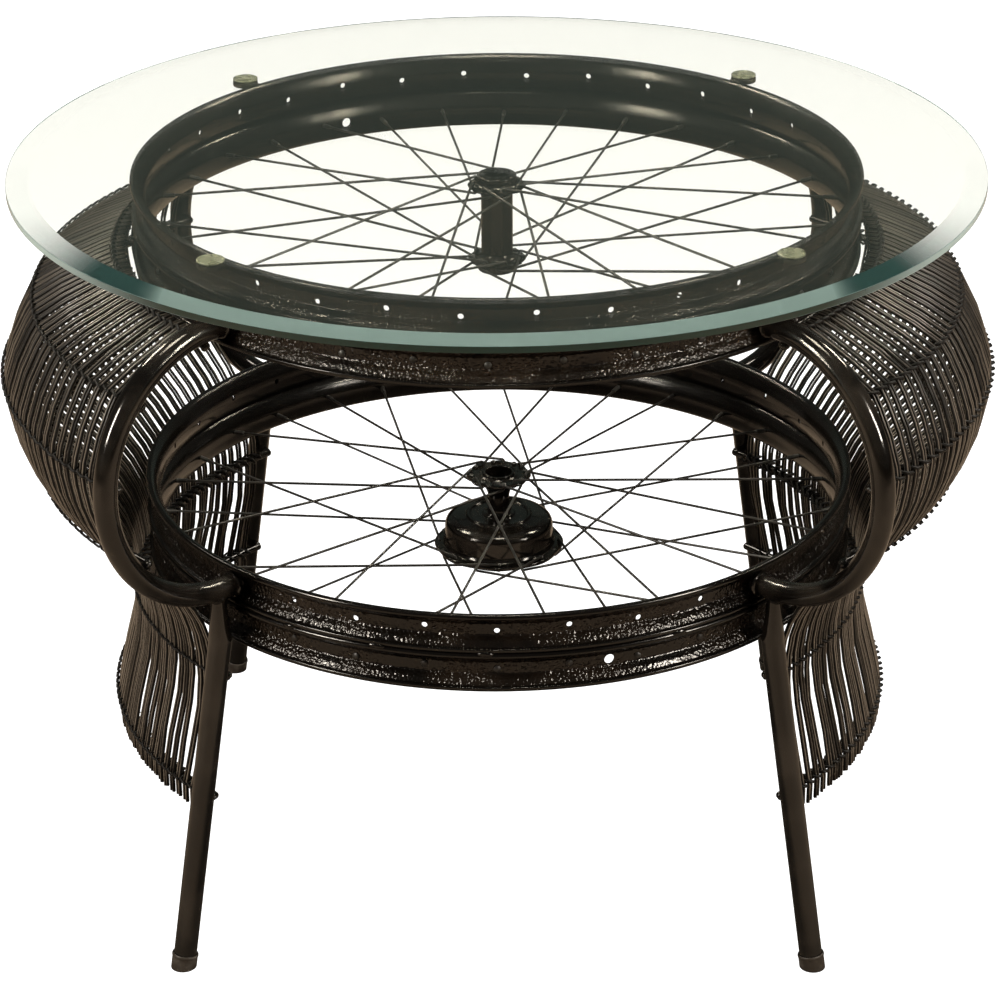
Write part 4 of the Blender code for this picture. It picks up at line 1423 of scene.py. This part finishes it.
# %% Bent rods
ROD_THICK_SPREAD = 0.13
ROD_APART = 1.04
ROD_WANDER = 0.30
ROD_SKIRT_WANDER = 0.95
ROD_END_SPREAD = 3.0 * MM
ROD_STRAY = 0.5 * MM
# How far noise moves on from one pair to the next, and along the whole of a rod
SLOW_NOISE, QUICK_NOISE, STRAY_NOISE = (7.31, 2.6), (3.17, 6.5), (5.3, 5.0)
QUICK_SHARE = 0.5
QUICK_SEED = 9.0
WAIST_SHARE, HEM_SHARE = (PANEL_LINE.nearest(skirt_point(drop, ROD_INSET)) / PANEL_LINE.length
                          for drop in SKIRT_HOOPS.values())


def pair_angle(count):
    """Where a pair stands round the table, in degrees from the panel's middle."""
    return ROD_EDGE_ANGLE * (2.0 * count / (ROD_PAIRS - 1) - 1.0)


def pair_noise(pair, share, steps, seed):
    return noise.noise(Vector((pair * steps[0], share * steps[1], seed)))


def wander(pair, share, seed):
    """How far a pair strays round the table, in degrees, at a share of its length."""
    slow = pair_noise(pair, share, SLOW_NOISE, seed)
    quick = pair_noise(pair, share, QUICK_NOISE, seed + QUICK_SEED)
    in_skirt = clamp((share - WAIST_SHARE) / (HEM_SHARE - WAIST_SHARE))
    return ROD_WANDER * (slow + QUICK_SHARE * quick) + ROD_SKIRT_WANDER * math.sin(math.pi * in_skirt) * slow


def bend_rod(rod, pair, hand, draw, seed):
    """Bend one straight rod along the panel's line, as the left or right one (hand) of its pair."""
    along, crest, tone = (rod.verts.layers.float[name] for name in ROD_NUMBERS)
    radius = ROD_RADIUS * (1.0 + draw.uniform(-ROD_THICK_SPREAD, ROD_THICK_SPREAD))
    start, end = draw.uniform(0.0, ROD_END_SPREAD), PANEL_LINE.length - draw.uniform(0.0, ROD_END_SPREAD)
    shade = draw.random()
    for vert in rod.verts:
        length = clamp(PANEL_LINE.spread(vert.co.z), start, end)
        share = length / PANEL_LINE.length
        point, direction = PANEL_LINE.at(length)
        outward = Vector((-direction.y, direction.x))
        reach, height = point + outward * vert.co.x * radius
        place = pair_angle(pair) + wander(pair, share, seed)
        stray = ROD_STRAY * pair_noise(pair, share, STRAY_NOISE, seed + hand)
        aside = hand * ROD_RADIUS * ROD_APART + stray + vert.co.y * radius
        # crest is 1 on the rod's outer and inner faces, where the painted highlight goes, and 0 on its
        # flanks, where the painted shade goes
        vert[along], vert[crest], vert[tone] = share, abs(vert.co.x), shade
        vert.co = polar(reach, place, height) + polar(aside, place + 90.0)


def rod_panel(side):
    draw = random.Random(ROD_SEED + len(side))
    bm = bmesh.new()
    for number in range(2 * ROD_PAIRS):
        rod = straight_rod(ROD_SIDES, ROD_RINGS)
        bend_rod(rod, number // 2, 1 if number % 2 else -1, draw, float(len(side)))
        add_into(bm, rod)
    bmesh.ops.recalc_face_normals(bm, faces=bm.faces)
    turn_to(bm, SIDES[side])
    return add_piece(f"rattan_rods_{side}", bm, RATTAN, [f"woven_panel_{side}"], sharp=ROD_SHARP)


for panel_side in SIDES:
    print("rods", panel_side, "faces:", len(rod_panel(panel_side).data.polygons))

# %% [markdown]
# ## Lashings
# Two strands are twined along every hoop. Each goes over one pair of rods, down between two pairs,
# behind the hoop and up again, and the two take turns. A strand is the same straight rod with many
# more rings, bent along that path. At each ring the path's direction gives the plane of the
# section, so the strand stays round where it dives.

# %% Twined lashings
STRAND_RADIUS = 1.35 * MM
STRAND_SIDES = 4
STRAND_RINGS_PER_PAIR = 8
STRAND_FRONT = ROD_RADIUS + STRAND_RADIUS
STRAND_BACK = HOOP_INSET - ROD_INSET + HOOP_RADIUS + STRAND_RADIUS
STRAND_PLATEAU = 1.5
STRAND_FRONT_RISE = 1.2 * MM
STRAND_BACK_RISE = 4.2 * MM
STRAND_UNEVEN = 0.8 * MM
STRAND_HURRY = 0.45
HURRY_GRAIN, UNEVEN_GRAIN, TONE_GRAIN = 0.7, 0.8, 0.42
HURRY_SEED = 2.0
STRAND_STREAKS = 8.0
# How much of the crest's wear and painted highlight a strand gets
STRAND_WEAR_AND_HIGHLIGHT = 0.30
PATH_STEP = 0.03


def strand_place(count, row_place, direction, phase, seed):
    """Where a strand's middle is after passing this many pairs."""
    outward = Vector((-direction.y, direction.x))
    hurry = STRAND_HURRY * noise.noise(Vector((count * HURRY_GRAIN, seed, HURRY_SEED)))
    turn = math.pi * count + phase + hurry
    inside = 0.5 - 0.5 * clamp(STRAND_PLATEAU * math.cos(turn), -1.0, 1.0)
    depth = STRAND_FRONT - inside * (STRAND_FRONT + STRAND_BACK)
    rise = math.sin(turn) * (STRAND_FRONT_RISE + inside * (STRAND_BACK_RISE - STRAND_FRONT_RISE))
    uneven = noise.noise(Vector((count * UNEVEN_GRAIN, seed, phase))) * STRAND_UNEVEN
    reach, height = row_place + outward * depth + direction * (rise + uneven)
    return polar(reach, pair_angle(count), height)


def strand(row_place, direction, phase, seed):
    gaps = ROD_PAIRS - 1
    rod = straight_rod(STRAND_SIDES, STRAND_RINGS_PER_PAIR * gaps)
    along, crest, tone = (rod.verts.layers.float[name] for name in ROD_NUMBERS)
    frames = {}
    for vert in rod.verts:
        count = round(vert.co.z * gaps, 4)
        if count not in frames:
            middle, before, after = (strand_place(count + step, row_place, direction, phase, seed)
                                     for step in (0.0, -PATH_STEP, PATH_STEP))
            forward = (after - before).normalized()
            side = forward.cross(UP).normalized()
            frames[count] = middle, side, forward.cross(side)
        middle, side, top = frames[count]
        vert[along] = STRAND_STREAKS * count / ROD_PAIRS
        # Crest at most 0.6: strands take the painted shade colour, with a faint painted highlight on one
        # side
        vert[crest] = STRAND_WEAR_AND_HIGHLIGHT + STRAND_WEAR_AND_HIGHLIGHT * vert.co.x
        vert[tone] = 0.5 + 0.5 * noise.noise(Vector((count * TONE_GRAIN, seed, phase)))
        vert.co = middle + (side * vert.co.x + top * vert.co.y) * STRAND_RADIUS
    return rod


def lashing(row, hoop_place, side):
    bm = bmesh.new()
    row_place, direction = PANEL_LINE.at(PANEL_LINE.nearest(hoop_place))
    for phase in (0.0, math.pi):
        add_into(bm, strand(row_place, direction, phase, len(row) + len(side)))
    bmesh.ops.recalc_face_normals(bm, faces=bm.faces)
    turn_to(bm, SIDES[side])
    return add_piece(f"{row}_lashing_{side}", bm, RATTAN, sharp=ROD_SHARP)


lashings = [lashing(row, place, side) for side in SIDES for row, place in hoop_places().items()]
print("lashings:", len(lashings), "faces each:", len(lashings[0].data.polygons))
